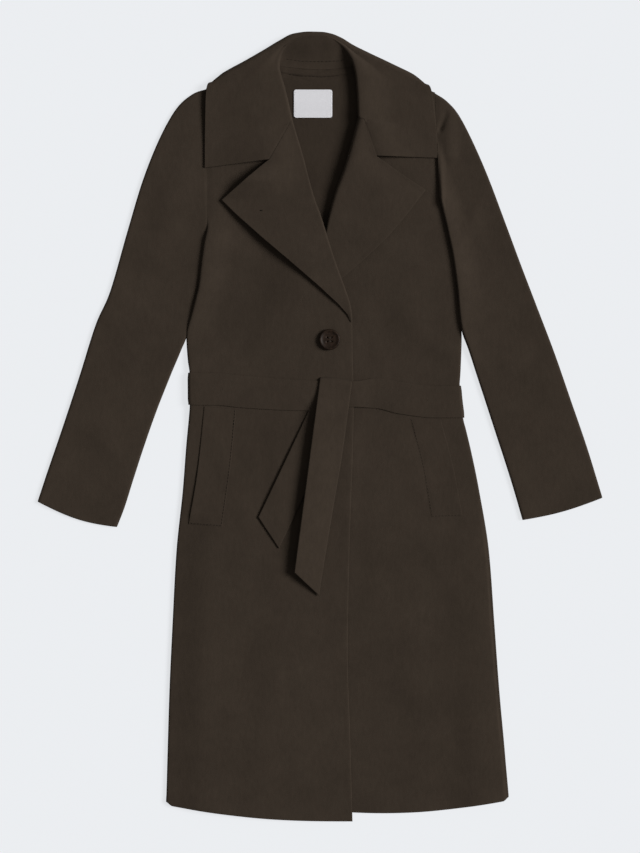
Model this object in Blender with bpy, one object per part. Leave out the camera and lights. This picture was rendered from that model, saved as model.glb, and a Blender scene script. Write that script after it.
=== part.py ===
"""Long wool coat with a tie belt, laid flat on its back with the collar and lapels turned open.

Lengths are in millimetres here and become metres in the meshes. X runs across the coat towards the
wearer's left side, Y along it towards the collar, and Z up from the surface that it lies on. A wall
is given by its middle surface: rows of points, one row for each section.
"""

import math

import bmesh
import bpy
import numpy as np

METRES = 0.001

# Cloth and how it lies
CLOTH = 2.2
HALF = CLOTH / 2
SEAM = 0.65
AIR = 0.7
BULGE_REACH = 45.0
FOLD = 1.8
SLEEVE_FOLD_WIDTH = 3.4
FOLD_SEAM = 1.1
SHOULDER_REACH = 35.0
LEAF_Z = 13.0
LEAF_ROLL = 3.0
LAPEL_CROWN = 0.7

# Lap of the right front over the left one
LAP_RISE = CLOTH + AIR + 0.1
LAPEL_LAP_RISE = 6.8
LAP_RAMP = 62.0
HIDDEN_EDGE_X = -31.0

# Belt
BELT = 3.0
BELT_WIDTH = 46.0
BELT_REST = 0.75
BELT_RISE = BELT + BELT_REST
BACK_BELT_REACH = 12.0
FRONT_BELT_REACH = 48.0

# Collar under the back
COLLAR_RISE = CLOTH + AIR + 0.2

# Button and label
BUTTON_DIAMETER = 30.0
BUTTON_THICK = 4.4
BUTTON_X, BUTTON_Y = 13.7, 124.2
BUTTON_REST = 0.2
BUTTON_HOLE = 2.6
BUTTON_HOLE_STEP = 5.4
LABEL = 1.0
LABEL_X = (-37.5, 17.5)
LABEL_Y = (442.0, 482.0)


def table(columns, rows):
    """A short table as one array for each named column."""
    return dict(zip(columns.split(), np.array(rows, float).T))


# Each front, from the hem to the shoulder. facing is the way from its side towards the front edge.
FRONT_RIGHT = {
    "facing": 1,
    "underarm": 288.0,
    "shoulder": ((-162.0, 483.0), (-68.0, 517.5)),
    "rows": table(
        "side_y side_x front_y droop",
        [
            (-542, -220.5, -565, -7),
            (-470, -218.5, -488, -3),
            (-380, -215.8, -390, -1),
            (-280, -211.2, -285, 0),
            (-180, -205.8, -184, 0),
            (-90, -196.5, -95, 0),
            (-25, -191.5, -34, 0),
            (16.5, -187.5, 5.5, 0),
            (28.5, -186.6, 17.5, 0),
            (79.5, -187, 68.5, 0),
            (91.5, -189, 80.5, 0),
            (130, -191.5, 118, 0),
            (165, -183.3, 152, 0),
            (170, -182.0, 158, 0),
            (182, -179.0, 174, 0),
            (200, -174.6, 197, 0),
            (236, -170.3, 236, 0),
            (262, -166.6, 270, 0),
            (288, -161.9, 304, 0),
            (300, -162, 324, 0),
            (330, -162, 352, 0),
            (362, -162, 381, 0),
            (410, -162, 432, 0),
            (422, -162, 433.5, 0),
            (442, -162, 470, 0),
        ],
    ),
    "edge": table(
        "y x",
        [(-564, 46.5), (-440, 43.0), (-320, 39.5), (-180, 42.0), (30, 48.0), (110, 46.5), (152, 46.0)],
    ),
    "lapel": table(
        "roll_y roll_x tip_y tip_x tip_z radius",
        [
            (158, 46.0, 160, 39.5, 13.8, 1.7),
            (174, 43.5, 174, 27, 14.2, 2.2),
            (197, 36.0, 198, 1, 15.2, 2.6),
            (236, 22.0, 236, -43, 14.0, 2.8),
            (270, 11.0, 270, -83, 11.5, 3.2),
            (304, 0.5, 304, -121, 8.8, 3.8),
            (324, -7.0, 324, -141, 7.9, 4.0),
            (352, -15.0, 352, -107.5, 9.8, 4.2),
            (381, -22.5, 381, -73, LEAF_Z, 4.35),
            (432, -37.5, 432, -43.7, LEAF_Z, 4.35),
        ],
    ),
    "neck": table("y x", [(433.5, -52.8), (517.5, -68.0)]),
}
FRONT_LEFT = {
    "facing": -1,
    "underarm": 330.0,
    "shoulder": ((163.6, 477.0), (62.3, 517.2)),
    "rows": table(
        "side_y side_x front_y droop",
        [
            (-535, 270.5, -547, -12),
            (-465, 264.8, -480, -5),
            (-380, 257.1, -388, -1),
            (-280, 249.7, -285, 0),
            (-180, 242.2, -182, 0),
            (-90, 227.7, -92, 0),
            (-43, 218.2, -34, 0),
            (-2, 208.4, 9, 0),
            (10, 205.2, 21, 0),
            (61, 200, 72, 0),
            (73, 201, 84, 0),
            (130, 203.0, 118, 0),
            (165, 201.2, 152, 0),
            (170, 200.4, 158, 0),
            (184, 198.8, 174, 0),
            (205, 196.6, 197, 0),
            (245, 191.2, 236, 0),
            (290, 181.8, 270, 0),
            (330, 171.8, 304, 0),
            (342, 171.1, 338, 0),
            (362, 170, 360, 0),
            (384, 168.7, 386, 0),
            (418, 166.7, 436, 0),
            (428, 166.1, 437.5, 0),
            (446, 165.1, 470, 0),
        ],
    ),
    "edge": table("y x", [(-560, HIDDEN_EDGE_X), (152, HIDDEN_EDGE_X)]),
    "lapel": table(
        "roll_y roll_x tip_y tip_x tip_z radius",
        [
            (158, -31.0, 160, -24, 7.3, 1.7),
            (174, -27.5, 174, -11, 7.3, 1.7),
            (197, -20.0, 198, 15, 7.4, 1.7),
            (236, -6.0, 236, 60, 7.5, 1.75),
            (270, 5.5, 270, 96, 7.8, 2.0),
            (304, 13.0, 304, 125, 8.4, 3.0),
            (338, 22.0, 338, 151, 10.8, 3.8),
            (360, 30.0, 360, 118, 9.8, 4.2),
            (386, 38.5, 386, 81, LEAF_Z, 4.35),
            (436, 50.5, 436, 56.7, LEAF_Z, 4.35),
        ],
    ),
    "neck": table("y x", [(437.5, 67.9), (517.2, 62.3)]),
}

# Soft ridges of the laid cloth, each along a line
RIDGES = table(
    "x0 y0 x1 y1 half height",
    [
        (-128, -190, -150, -540, 52, 1.9),
        (-42, -330, -26, -600, 48, 1.4),
        (112, -150, 116, -600, 50, 2.0),
        (222, -300, 236, -600, 34, 1.6),
        (-118, 190, -110, 130, 42, 1.3),
        (122, 225, 138, 120, 44, 1.5),
    ],
)

# Collar from the right notch round the neck to the left notch. low is its neck seam, inner its roll,
# outer its free edge or its fold, and under the free edge of the part that is folded beneath.
COLLAR = table(
    "low_x low_y low_on_back inner_x inner_y roll outer_x outer_y edge_z under_x under_y folded",
    [
        (-73.5, 381.4, 0, -73.5, 381.4, 0, -165.0, 370.0, 9.2, -165, 370, 0),
        (-59.0, 406.9, 0, -59.0, 406.9, 0, -165.0, 397.0, 9.8, -165, 397, 0),
        (-43.8, 433.6, 0, -43.8, 433.6, 0, -164.8, 421.0, 10.4, -165, 421, 0),
        (-52.8, 437.0, -0.3, -40.5, 438.5, 1, -164.6, 430.0, 10.6, -165, 430, 0),
        (-56.8, 459.0, 0, -45.0, 460.0, 1, -164.2, 449.0, 11.6, -164, 449, 0),
        (-61.0, 482.0, 0, -50.5, 483.0, 1, -163.4, 472.0, 12.3, -163, 472, 0),
        (-64.8, 503.0, 0, -56.0, 502.0, 1, -161.5, 490.5, 12.8, -156, 482, 0),
        (-67.4, 518.9, 0.1, -58.5, 513.0, 1, -143.0, 503.0, LEAF_Z, -146, 491.5, 1),
        (-58.0, 518.0, 1, -58.5, 522.5, 1, -106.0, 524.2, LEAF_Z, -120, 489, 1),
        (-50.0, 516.0, 1, -56.0, 532.0, 1, -80.0, 539.2, LEAF_Z, -95, 489, 1),
        (-40.0, 514.6, 1, -50.0, 542.0, 0.7, -58.0, 552.4, LEAF_Z, -70, 489, 1),
        (-27.0, 513.2, 1, -36.0, 551.0, 0.3, -38.0, 562.2, LEAF_Z, -45, 489, 1),
        (-12.0, 512.3, 1, -15.0, 556.2, 0, -16.0, 565.0, LEAF_Z, -18, 489, 1),
        (2.0, 512.0, 1, 2.0, 556.8, 0, 2.0, 564.6, LEAF_Z, 2, 489, 1),
        (13.0, 512.3, 1, 14.0, 554.6, 0, 16.0, 562.2, LEAF_Z, 20, 489, 1),
        (24.0, 513.2, 1, 26.0, 547.5, 0.3, 31.0, 556.0, LEAF_Z, 42, 489, 1),
        (34.0, 514.6, 1, 34.5, 540.0, 0.7, 47.0, 546.2, LEAF_Z, 64, 489, 1),
        (43.0, 516.0, 1, 41.0, 531.0, 1, 72.0, 533.8, LEAF_Z, 88, 488, 1),
        (51.0, 518.0, 1, 46.0, 522.0, 1, 104.0, 518.6, LEAF_Z, 116, 487, 1),
        (61.3, 518.9, 0.1, 49.0, 512.0, 1, 138.0, 501.0, LEAF_Z, 144, 489, 1),
        (62.5, 502.0, 0, 51.5, 500.5, 1, 158.5, 487.5, 12.8, 154, 479, 0),
        (64.1, 481.0, 0, 53.2, 482.0, 1, 161.2, 469.0, 12.3, 160, 469, 0),
        (65.8, 458.0, 0, 54.6, 459.0, 1, 164.0, 446.0, 11.6, 164, 446, 0),
        (67.1, 440.5, -0.3, 55.2, 442.0, 1, 165.8, 429.0, 10.6, 166, 429, 0),
        (56.6, 438.0, 0, 56.6, 438.0, 0, 166.4, 421.0, 10.4, 166, 421, 0),
        (69.4, 411.5, 0, 69.4, 411.5, 0, 167.6, 402.0, 9.8, 168, 402, 0),
        (81.6, 386.5, 0, 81.6, 386.5, 0, 168.6, 384.0, 9.2, 169, 384, 0),
    ],
)

# Sleeves from the armhole to the cuff: both folded edges and the bow between them
SLEEVE_COLUMNS = "outer_x outer_y inner_x inner_y bow"
SLEEVE_RIGHT = table(
    SLEEVE_COLUMNS,
    [
        (-163.0, 483.5, -163.4, 286, 0),
        (-183, 475.5, -167.8, 262, 0),
        (-205.5, 455, -171.2, 238, 0),
        (-229.6, 412, -174.4, 212, 0),
        (-253.6, 352, -181.8, 176, 0),
        (-275.6, 279, -193.8, 124, 0),
        (-300.2, 194, -213.4, 75, 0),
        (-321, 146, -233.6, 24, 0),
        (-344.4, 72, -251.2, -26, 0),
        (-368.2, 0, -267.4, -76, 1),
        (-388.8, -60, -279.6, -115, 4),
        (-404.6, -107.5, -290.8, -144, 7),
    ],
)
SLEEVE_LEFT = table(
    SLEEVE_COLUMNS,
    [
        (164.7, 477.5, 173.5, 328, 0),
        (181, 466, 180.9, 300, 0),
        (197.6, 447, 187.2, 272, 0),
        (217.2, 410, 193.8, 238, 0),
        (240, 358, 199.2, 196, 0),
        (264.2, 294, 205.2, 138, 0),
        (287.6, 231, 220.8, 86, 0),
        (310.6, 171, 236.4, 38, 0),
        (335.4, 106, 251.2, -8, 0),
        (359.4, 37, 264.2, -48, 0.5),
        (382.8, -31, 277, -89, 2),
        (404.6, -102, 290, -134, 4),
    ],
)

# Corners of the two pocket welts, at the opening and at the sewn edge
WELT_COLUMNS = "open_x open_y sewn_x sewn_y"
WELT_RIGHT = table(
    WELT_COLUMNS,
    [(-165.5, 28.5, -120, 24.5), (-175.5, -66, -128.5, -61), (-188, -139.5, -140, -143.5)],
)
WELT_LEFT = table(WELT_COLUMNS, [(172.5, 10.5, 128.7, 11.5), (190, -55, 146, -56), (204, -128, 159, -130)])
WELT_LIFT = 1.4

# Belt on the front: middle line and width from the right side to the knot and from there on
BELT_FRONT_RIGHT = table(
    "x y width",
    [(-188, 53.5, 46), (-150, 53.5, 46), (-114, 50.0, 46), (-14, 44.5, 43), (8, 45.5, 39)],
)
BELT_FRONT_LEFT = table(
    "x y width",
    [(13, 45.5, 38), (50, 46.4, 37), (79, 47.5, 43), (114, 41.0, 46), (164, 35.5, 46), (207, 35.5, 46)],
)

# The two belt ends, along their middle line: lift is the height of the left edge over the right one
TIE_OVER = table(
    "x y lift clear",
    [
        (22.8, 66.8, 0.0, 4.5),
        (19.7, 42.0, 0.6, 4.3),
        (16.5, 18.0, 2.0, 4.3),
        (10.1, -30.0, 6.0, 2.6),
        (2.5, -88.0, 8.0, 1.2),
        (-6.8, -158.0, 8.5, 0.8),
        (-13.8, -211.0, 7.5, 0.8),
    ],
)
TIE_UNDER = table(
    "x y lift clear",
    [
        (3.6, 10.5, 0.0, 1.0),
        (-10.5, -19.0, 0.3, 1.0),
        (-29.5, -59.5, 1.5, 0.9),
        (-48.5, -99.5, 2.0, 0.7),
        (-67.4, -139.3, 2.0, 0.6),
    ],
)
TIE_OVER_CUT = 27.0
TIE_UNDER_CUT = 28.0
TIE_HOOK = 5.2


def smooth(low, high, value):
    part = np.clip((value - low) / (high - low), 0.0, 1.0)
    return part * part * (3.0 - 2.0 * part)


def read(rows, key, column, at):
    """A column of a table at any value of its key column, which rises."""
    return np.interp(at, rows[key], rows[column])


def finer(rows, parts):
    """The table with more rows, on a smooth curve through its own rows."""
    count = len(next(iter(rows.values())))
    place = np.linspace(0, count - 1, (count - 1) * parts + 1)
    index = np.clip(place.astype(int), 0, count - 2)
    part = place - index
    result = {}
    for name, values in rows.items():
        slope = np.gradient(values)
        step = values[index + 1] - values[index]
        a = slope[index] - step
        b = step - slope[index + 1]
        line = values[index] + step * part
        result[name] = line + part * (1 - part) * (a * (1 - part) + b * part)
    return result


def belt_line(x):
    """Middle line of the belt behind the back."""
    return np.interp(x, [-188.0, 207.0], [54.0, 35.5])


def back_top(x):
    """Top edge of the back: shoulder, neckline, shoulder."""
    low = COLLAR["low_y"] > 510
    neck_x = COLLAR["low_x"][low]
    neck_y = COLLAR["low_y"][low] - 2 * SEAM
    right, left = FRONT_RIGHT["shoulder"][0], FRONT_LEFT["shoulder"][0]
    return np.interp(x, [right[0], *neck_x, left[0]], [right[1], *neck_y, left[1]])


def back_z(x, y, belt_reach=BACK_BELT_REACH):
    """Middle surface of the back, which rises over the belt and over the part of the collar beneath it."""
    off_belt = np.abs(y - belt_line(x)) - BELT_WIDTH / 2 - 2.5
    belt = BELT_RISE * (1 - smooth(0, belt_reach, off_belt))
    below_top = back_top(x) - y
    collar = COLLAR_RISE * (1 - smooth(44, 88, below_top))
    return HALF + belt + collar


def ridge_z(x, y):
    rise = np.zeros(np.broadcast(x, y).shape)
    for x0, y0, x1, y1, half, height in zip(*RIDGES.values()):
        run = np.clip(((x - x0) * (x1 - x0) + (y - y0) * (y1 - y0)) / ((x1 - x0) ** 2 + (y1 - y0) ** 2), 0, 1)
        off = np.hypot(x - x0 - run * (x1 - x0), y - y0 - run * (y1 - y0))
        rise = rise + height * (1 - smooth(0, half, off))
    return rise


def bulge(reach, distance):
    """Rise of the upper layer beside a folded edge, over where the layers lie on each other."""
    return (2 * FOLD - CLOTH - AIR) * (1 - smooth(FOLD, reach, distance))


def shoulder_line(front, x):
    (x0, y0), (x1, y1) = front["shoulder"]
    return y0 + (y1 - y0) * np.clip((x - x0) / (x1 - x0), 0, 1)


def shoulder_x(front):
    """X along the outer part of a shoulder, where the front's sections have their points."""
    (x0, y0), (x1, y1) = front["shoulder"]
    share = np.array([0, FOLD, FOLD + 8, FOLD + 20, BULGE_REACH]) / math.hypot(x1 - x0, y1 - y0)
    return x0 + (x1 - x0) * share


def lap_z(x, y):
    """Rise of the right front where it lies on the left front and on its lapel."""
    lapel = FRONT_LEFT["lapel"]
    edge = np.interp(y, lapel["roll_y"], lapel["roll_x"])
    height = np.interp(y, [92, 148, 292, 352], [LAP_RISE, LAPEL_LAP_RISE, LAPEL_LAP_RISE, 0])
    return height * smooth(edge - LAP_RAMP, edge - 4, x)


def front_z(front, x, y):
    """Middle surface of a front, clear of its folded side."""
    rows = front["rows"]
    inside = front["facing"] * (x - read(rows, "side_y", "side_x", y))
    above = y - front["underarm"]
    side = bulge(BULGE_REACH, inside) * (1 - smooth(0, BULGE_REACH, above))
    shoulder = bulge(SHOULDER_REACH, shoulder_line(front, x) - y)
    rise = np.maximum(side, shoulder) + ridge_z(x, y)
    if front is FRONT_RIGHT:
        rise = rise + lap_z(x, y)
    return back_z(x, y, FRONT_BELT_REACH) + CLOTH + AIR + rise


def upper_z(x, y):
    """Middle surface of whichever front lies on top, with a soft step down at the right front's edge."""
    edge = read(FRONT_RIGHT["edge"], "y", "x", y)
    upper = front_z(FRONT_RIGHT, np.minimum(x, edge), y)
    lower = front_z(FRONT_LEFT, np.maximum(x, HIDDEN_EDGE_X), y)
    return upper + (lower - upper) * smooth(edge + 1, edge + 30, x)


def front_edge_x(front, y):
    """X of a front's inner edge: its front edge, then just inside the lapel's roll, then its neckline."""
    lapel = front["lapel"]
    if y < lapel["roll_y"][0]:
        return read(front["edge"], "y", "x", y)
    if y <= lapel["roll_y"][-1]:
        roll = read(lapel, "roll_y", "roll_x", y)
        return roll - front["facing"] * (read(lapel, "roll_y", "radius", y) + HALF + SEAM)
    return read(front["neck"], "y", "x", y)


def material(name, colour, roughness):
    made = bpy.data.materials.new(name)
    made.use_nodes = True
    shader = made.node_tree.nodes["Principled BSDF"]
    shader.inputs["Base Color"].default_value = (*colour, 1.0)
    shader.inputs["Roughness"].default_value = roughness
    shader.inputs["Metallic"].default_value = 0.0
    made.diffuse_color = (*colour, 1.0)
    return made


def add_object(name, points, faces, look):
    mesh = bpy.data.meshes.new(name)
    mesh.from_pydata((np.asarray(points) * METRES).tolist(), [], faces)
    build = bmesh.new()
    build.from_mesh(mesh)
    bmesh.ops.recalc_face_normals(build, faces=build.faces)
    build.to_mesh(mesh)
    build.free()
    mesh.materials.append(look)
    made = bpy.data.objects.new(name, mesh)
    bpy.context.scene.collection.objects.link(made)
    return made


def wall(name, middle, thickness, look, ring=False):
    """A closed wall about a grid of middle points. With ring, each row closes on itself."""
    middle = np.asarray(middle, float)
    rows, columns = middle.shape[:2]
    if ring:
        around = np.concatenate([middle[:, -1:], middle, middle[:, :1]], axis=1)
        across = np.gradient(around, axis=1)[:, 1:-1]
    else:
        across = np.gradient(middle, axis=1)
    normal = np.cross(across, np.gradient(middle, axis=0))
    normal /= np.linalg.norm(normal, axis=2, keepdims=True)
    layers = np.concatenate([middle + normal * thickness / 2, middle - normal * thickness / 2])
    points = layers.reshape(-1, 3)
    points[:, 2] = np.maximum(points[:, 2], 0.0)
    below = rows * columns
    last = columns if ring else columns - 1
    faces = []
    for row in range(rows - 1):
        for column in range(last):
            a = row * columns + column
            b = row * columns + (column + 1) % columns
            faces.append((a, b, b + columns, a + columns))
            faces.append((a + below, a + columns + below, b + columns + below, b + below))
    for start in (0, (rows - 1) * columns):
        for column in range(last):
            a = start + column
            b = start + (column + 1) % columns
            faces.append((a, a + below, b + below, b))
    if not ring:
        for start in (0, columns - 1):
            for row in range(rows - 1):
                a = row * columns + start
                faces.append((a, a + columns, a + columns + below, a + below))
    return add_object(name, points, faces, look)


# Points of a folded side, from its seam to its flat part
CURL_RUN = FOLD * np.array([0.0, 0.02, 0.45, 1.0])
CURL_RISE = FOLD * np.array([0.18, 0.5, 0.9, 1.0])


def front_section(front, side, edge, droop, curled):
    """One section of a front, from its side to its inner edge."""
    (side_x, side_y), (edge_x, edge_y) = side, edge
    width = math.hypot(edge_x - side_x, edge_y - side_y)
    inset = HALF * curled
    curl = inset + CURL_RUN
    near = inset + FOLD + np.array([8, 20, BULGE_REACH - FOLD])
    far = np.linspace(near[-1], width, 10)[1:]
    run = np.concatenate([curl, near, far])
    part = run / width
    x = side_x + (edge_x - side_x) * part
    y = side_y + (edge_y - side_y) * part + droop * np.sin(np.pi * part)
    z = front_z(front, x, y)
    base = back_z(x[:4], y[:4])
    slack = back_z(x[:4], y[:4], FRONT_BELT_REACH) - base
    folded = base + FOLD + CURL_RISE * (1 + slack / FOLD)
    z[:4] += curled * (folded - z[:4])
    return np.stack([x, y, z], axis=1)


def front_panel(name, front, look):
    rows = front["rows"]
    sections = []
    for side_y, side_x, front_y, droop in zip(*rows.values()):
        curled = 1.0 if side_y <= front["underarm"] else 0.0
        edge = (front_edge_x(front, front_y), front_y)
        sections.append(front_section(front, (side_x, side_y), edge, droop, curled))
    (x0, y0), (x1, y1) = front["shoulder"]
    for turn in np.radians([90, 60, 30, 0]):
        drop = FOLD * (1 - math.cos(turn))
        edge = (front_edge_x(front, y1 - drop), y1 - drop)
        section = front_section(front, (x0, y0 - drop), edge, 0.0, 0.0)
        x, y = section[:, 0], section[:, 1]
        section[:, 2] = back_z(x, y) + FOLD * (1 + math.sin(turn))
        if turn == 0:
            section[:, 2] += FOLD_SEAM / 2
        sections.append(section)
    return wall(name, sections, CLOTH, look)


def lapel(name, front, look):
    """The turned-back part of a front, from the roll to its free edge."""
    facing = front["facing"]
    bend = np.radians([0, 36, 72, 108, 144, 180])
    reach = np.linspace(0, 1, 7)[1:]
    sections = []
    for roll_y, roll_x, tip_y, tip_x, tip_z, radius in zip(*front["lapel"].values()):
        start = roll_x - facing * (radius + HALF)
        base = front_z(front, np.array(start), np.array(roll_y))
        bend_x = start + facing * radius * np.sin(bend)
        bend_z = base + radius * (1 - np.cos(bend))
        arm_x = start + (tip_x - start) * reach
        arm_y = roll_y + (tip_y - roll_y) * reach
        crown = LAPEL_CROWN * smooth(20, 70, abs(tip_x - start))
        arm_z = bend_z[-1] + (tip_z - bend_z[-1]) * smooth(0, 1, reach) + crown * np.sin(np.pi * reach)
        x = np.concatenate([bend_x, arm_x])
        y = np.concatenate([np.full(bend.shape, roll_y), arm_y])
        z = np.concatenate([bend_z, arm_z])
        sections.append(np.stack([x, y, z], axis=1))
    return wall(name, sections, CLOTH, look)


BACK_ROWS = [0, 2, 4, 5, 6, 7, 8, 9, 10, 11, 12, 15, 17, 18, 19, 21]
BACK_HEM_SHORT = 6.0
BACK_HEM_DROOP = 14.0
LEFT_ARMHOLE_SLOPE = 0.058


def back_panel(name, look):
    sections = []
    right, left = FRONT_RIGHT["rows"], FRONT_LEFT["rows"]
    inner = np.linspace(0, 1, 15)
    for index in BACK_ROWS:
        ends = []
        for front, rows in ((FRONT_RIGHT, right), (FRONT_LEFT, left)):
            curled = 1.0 if rows["side_y"][index] <= front["underarm"] else 0.0
            run = HALF * curled + CURL_RUN
            x = rows["side_x"][index] + front["facing"] * run
            y = np.full(x.shape, rows["side_y"][index])
            if index == 0:
                y += BACK_HEM_SHORT
            z = back_z(x, y)
            folded = z + FOLD - CURL_RISE
            z = z + curled * (folded - z)
            ends.append(np.stack([x, y, z], axis=1))
        first, second = ends[0], ends[1][::-1]
        x = first[-1, 0] + (second[0, 0] - first[-1, 0]) * inner[1:-1]
        y = first[-1, 1] + (second[0, 1] - first[-1, 1]) * inner[1:-1]
        if index == 0:
            y = y - BACK_HEM_DROOP * np.sin(np.pi * inner[1:-1])
        centre = np.stack([x, y, back_z(x, y)], axis=1)
        sections.append(np.concatenate([first, centre, second]))
    neck = [-72, -66.9, -58, -40, -14, 2, 14, 34, 51, 60.9, 67]
    x = np.array([*shoulder_x(FRONT_RIGHT), *neck, *shoulder_x(FRONT_LEFT)[::-1]])
    on_shoulder = smooth(66.9, 72, -x) + smooth(60.9, 67, x)
    seam = [(FOLD * (1 - math.cos(turn)), turn) for turn in np.radians([90, 60, 30, 0])]
    for drop, turn in [(88.0, None), (66.0, None), (44.0, None), (22.0, None), *seam]:
        y = back_top(x) - drop
        z = back_z(x, y)
        if turn is not None:
            z = z + on_shoulder * (FOLD * (1 - math.sin(turn)) - FOLD_SEAM / 2 * math.cos(turn))
        placed = x.copy()
        placed[-1] += LEFT_ARMHOLE_SLOPE * drop
        sections.append(np.stack([placed, y, z], axis=1))
    return wall(name, sections, CLOTH, look)


def sleeve(name, rows, look):
    """A flattened tube with rounded edges, whose upper layer sinks onto the lower one between them."""
    turn = np.radians([-90, -45, 0, 45, 90])
    sections = []
    for outer_x, outer_y, inner_x, inner_y, bow in zip(*rows.values()):
        width = math.hypot(inner_x - outer_x, inner_y - outer_y)
        outer = HALF + SLEEVE_FOLD_WIDTH * (1 - np.cos(turn))
        inner = width - HALF - SLEEVE_FOLD_WIDTH * (1 - np.cos(turn[::-1]))
        beside = np.array([7.0, 18.0])
        top = np.concatenate([outer[-1] + beside, [42, width / 2, width - 42], inner[0] - beside[::-1]])
        top_rise = np.maximum(
            bulge(BULGE_REACH, top - HALF), bulge(BULGE_REACH, width - HALF - top)
        )
        bottom = np.linspace(inner[-1], outer[0], 5)[1:-1]
        run = np.concatenate([outer, top, inner, bottom])
        z = HALF + np.concatenate(
            [
                FOLD * (1 + np.sin(turn)),
                CLOTH + AIR + top_rise,
                FOLD * (1 + np.sin(turn[::-1])),
                np.zeros(3),
            ]
        )
        part = run / width
        x = outer_x + (inner_x - outer_x) * part
        y = outer_y + (inner_y - outer_y) * part - bow * np.sin(np.pi * part)
        sections.append(np.stack([x, y, z], axis=1))
    return wall(name, sections, CLOTH, look, ring=True)


def collar(name, look):
    """Stand, roll, leaf and the part folded beneath, in one sheet."""
    sections = []
    rise = np.linspace(0, 1, 5)[:-1]
    over = np.radians([0, 45, 90])
    leaf = np.linspace(0, 1, 7)[1:-1]
    fold = np.radians([0, 45, 90, 135, 180])
    for row in zip(*COLLAR.values()):
        low_x, low_y, low_on_back, inner_x, inner_y, roll = row[:6]
        outer_x, outer_y, edge_z, under_x, under_y, folded = row[6:]
        low = np.array([low_x, low_y])
        inner = np.array([inner_x, inner_y])
        outer = np.array([outer_x, outer_y])
        under = np.array([under_x, under_y])
        out = (outer - inner) / np.linalg.norm(outer - inner)
        radius = LEAF_ROLL * roll + 0.5 * (1 - roll)
        if np.allclose(low, inner):
            steps = np.linspace(0, 3.5, len(rise) + len(over))
            plan = [inner + out * step for step in steps]
            height = [LEAF_Z] * len(steps)
        else:
            front = FRONT_RIGHT if low_x < 0 else FRONT_LEFT
            on_front = float(front_z(front, np.array(low_x), np.array(low_y)))
            on_back = float(back_z(np.array(low_x), np.array(low_y)))
            low_z = on_front + (on_back - on_front) * low_on_back
            side_plan = np.sin(rise * np.pi / 2)
            side_rise = 1 - np.cos(rise * np.pi / 2)
            moved = roll * side_plan + (1 - roll) * rise
            raised = roll * side_rise + (1 - roll) * smooth(0, 1, rise)
            plan = [low + (inner - low) * part for part in moved]
            height = list(low_z + (LEAF_Z - radius - low_z) * raised)
            plan += [inner + out * radius * (1 - math.cos(turn)) for turn in over]
            height += [LEAF_Z - radius + radius * math.sin(turn) for turn in over]
        start = plan[-1]
        fold_radius = (edge_z - HALF - 0.05) / 2
        way_in = (outer - under) / max(np.linalg.norm(outer - under), 1e-6)
        middle_way = out + way_in
        middle_way /= max(np.linalg.norm(middle_way), 1e-6)
        heel = outer - middle_way * (fold_radius + HALF)
        free_end = [start + (outer - start) * part for part in leaf * 0.9]
        free_end += [start + (outer - start) * part for part in np.linspace(0.9, 1.0, len(fold) + 2)]
        free_part = np.concatenate([leaf * 0.9, np.linspace(0.9, 1.0, len(fold) + 2)])
        free_z = LEAF_Z + (edge_z - LEAF_Z) * smooth(0, 1, free_part)
        turned = [start + (heel - start) * part for part in leaf]
        turned += [heel + middle_way * fold_radius * math.sin(turn) for turn in fold]
        turned += [heel + (under - heel) * part for part in (0.5, 1.0)]
        turned_z = np.concatenate(
            [
                LEAF_Z + (edge_z - LEAF_Z) * leaf,
                edge_z - fold_radius * (1 - np.cos(fold)),
                np.full(2, edge_z - 2 * fold_radius),
            ]
        )
        plan += list(np.array(free_end) * (1 - folded) + np.array(turned) * folded)
        height += list(free_z * (1 - folded) + turned_z * folded)
        sections.append(np.column_stack([np.array(plan), height]))
    return wall(name, sections, CLOTH, look)


def welt(name, front, rows, look):
    """A pocket welt on a front, a little lifted along its opening."""
    sections = []
    across = np.linspace(0, 1, 4)
    for open_x, open_y, sewn_x, sewn_y in zip(*finer(rows, 2).values()):
        x = open_x + (sewn_x - open_x) * across
        y = open_y + (sewn_y - open_y) * across
        z = front_z(front, x, y) + CLOTH + AIR + 0.35 + WELT_LIFT * (1 - across) ** 2
        sections.append(np.stack([x, y, z], axis=1))
    return wall(name, sections, CLOTH, look)


def belt(name, look):
    """The belt from the knot round the back to the knot again."""
    across = np.linspace(-0.5, 0.5, 5)
    turn = np.radians(np.linspace(90, -90, 7))
    rest = HALF + BELT_REST + BELT / 2
    sections = []

    def on_front(rows, places):
        for x in places:
            y = read(rows, "x", "y", x) + across * read(rows, "x", "width", x)
            sections.append(np.stack([np.full(5, x), y, upper_z(np.full(5, x), y) + rest], axis=1))

    def round_side(front, turns, middle_y):
        y = middle_y + across * BELT_WIDTH
        side = read(front["rows"], "side_y", "side_x", y) + front["facing"] * (HALF + FOLD)
        centre = back_z(side, y) + FOLD
        for angle in turns:
            x = side - front["facing"] * (FOLD + rest) * math.cos(angle)
            z = np.maximum(centre + (FOLD + rest) * math.sin(angle), BELT / 2)
            sections.append(np.stack([x, y, z], axis=1))

    on_front(BELT_FRONT_RIGHT, np.array([8, -8, -24, -40, -60, -85, -112, -138, -156, -166, -174]))
    round_side(FRONT_RIGHT, turn, 54.0)
    for x in np.linspace(-170, 186, 7):
        y = belt_line(x) + across * BELT_WIDTH
        sections.append(np.stack([np.full(5, x), y, np.full(5, BELT / 2)], axis=1))
    round_side(FRONT_LEFT, turn[::-1], 35.5)
    on_front(BELT_FRONT_LEFT, np.array([184, 174, 166, 158, 142, 118, 96, 80, 66, 52, 40, 26, 13]))
    return wall(name, sections, BELT, look)


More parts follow.
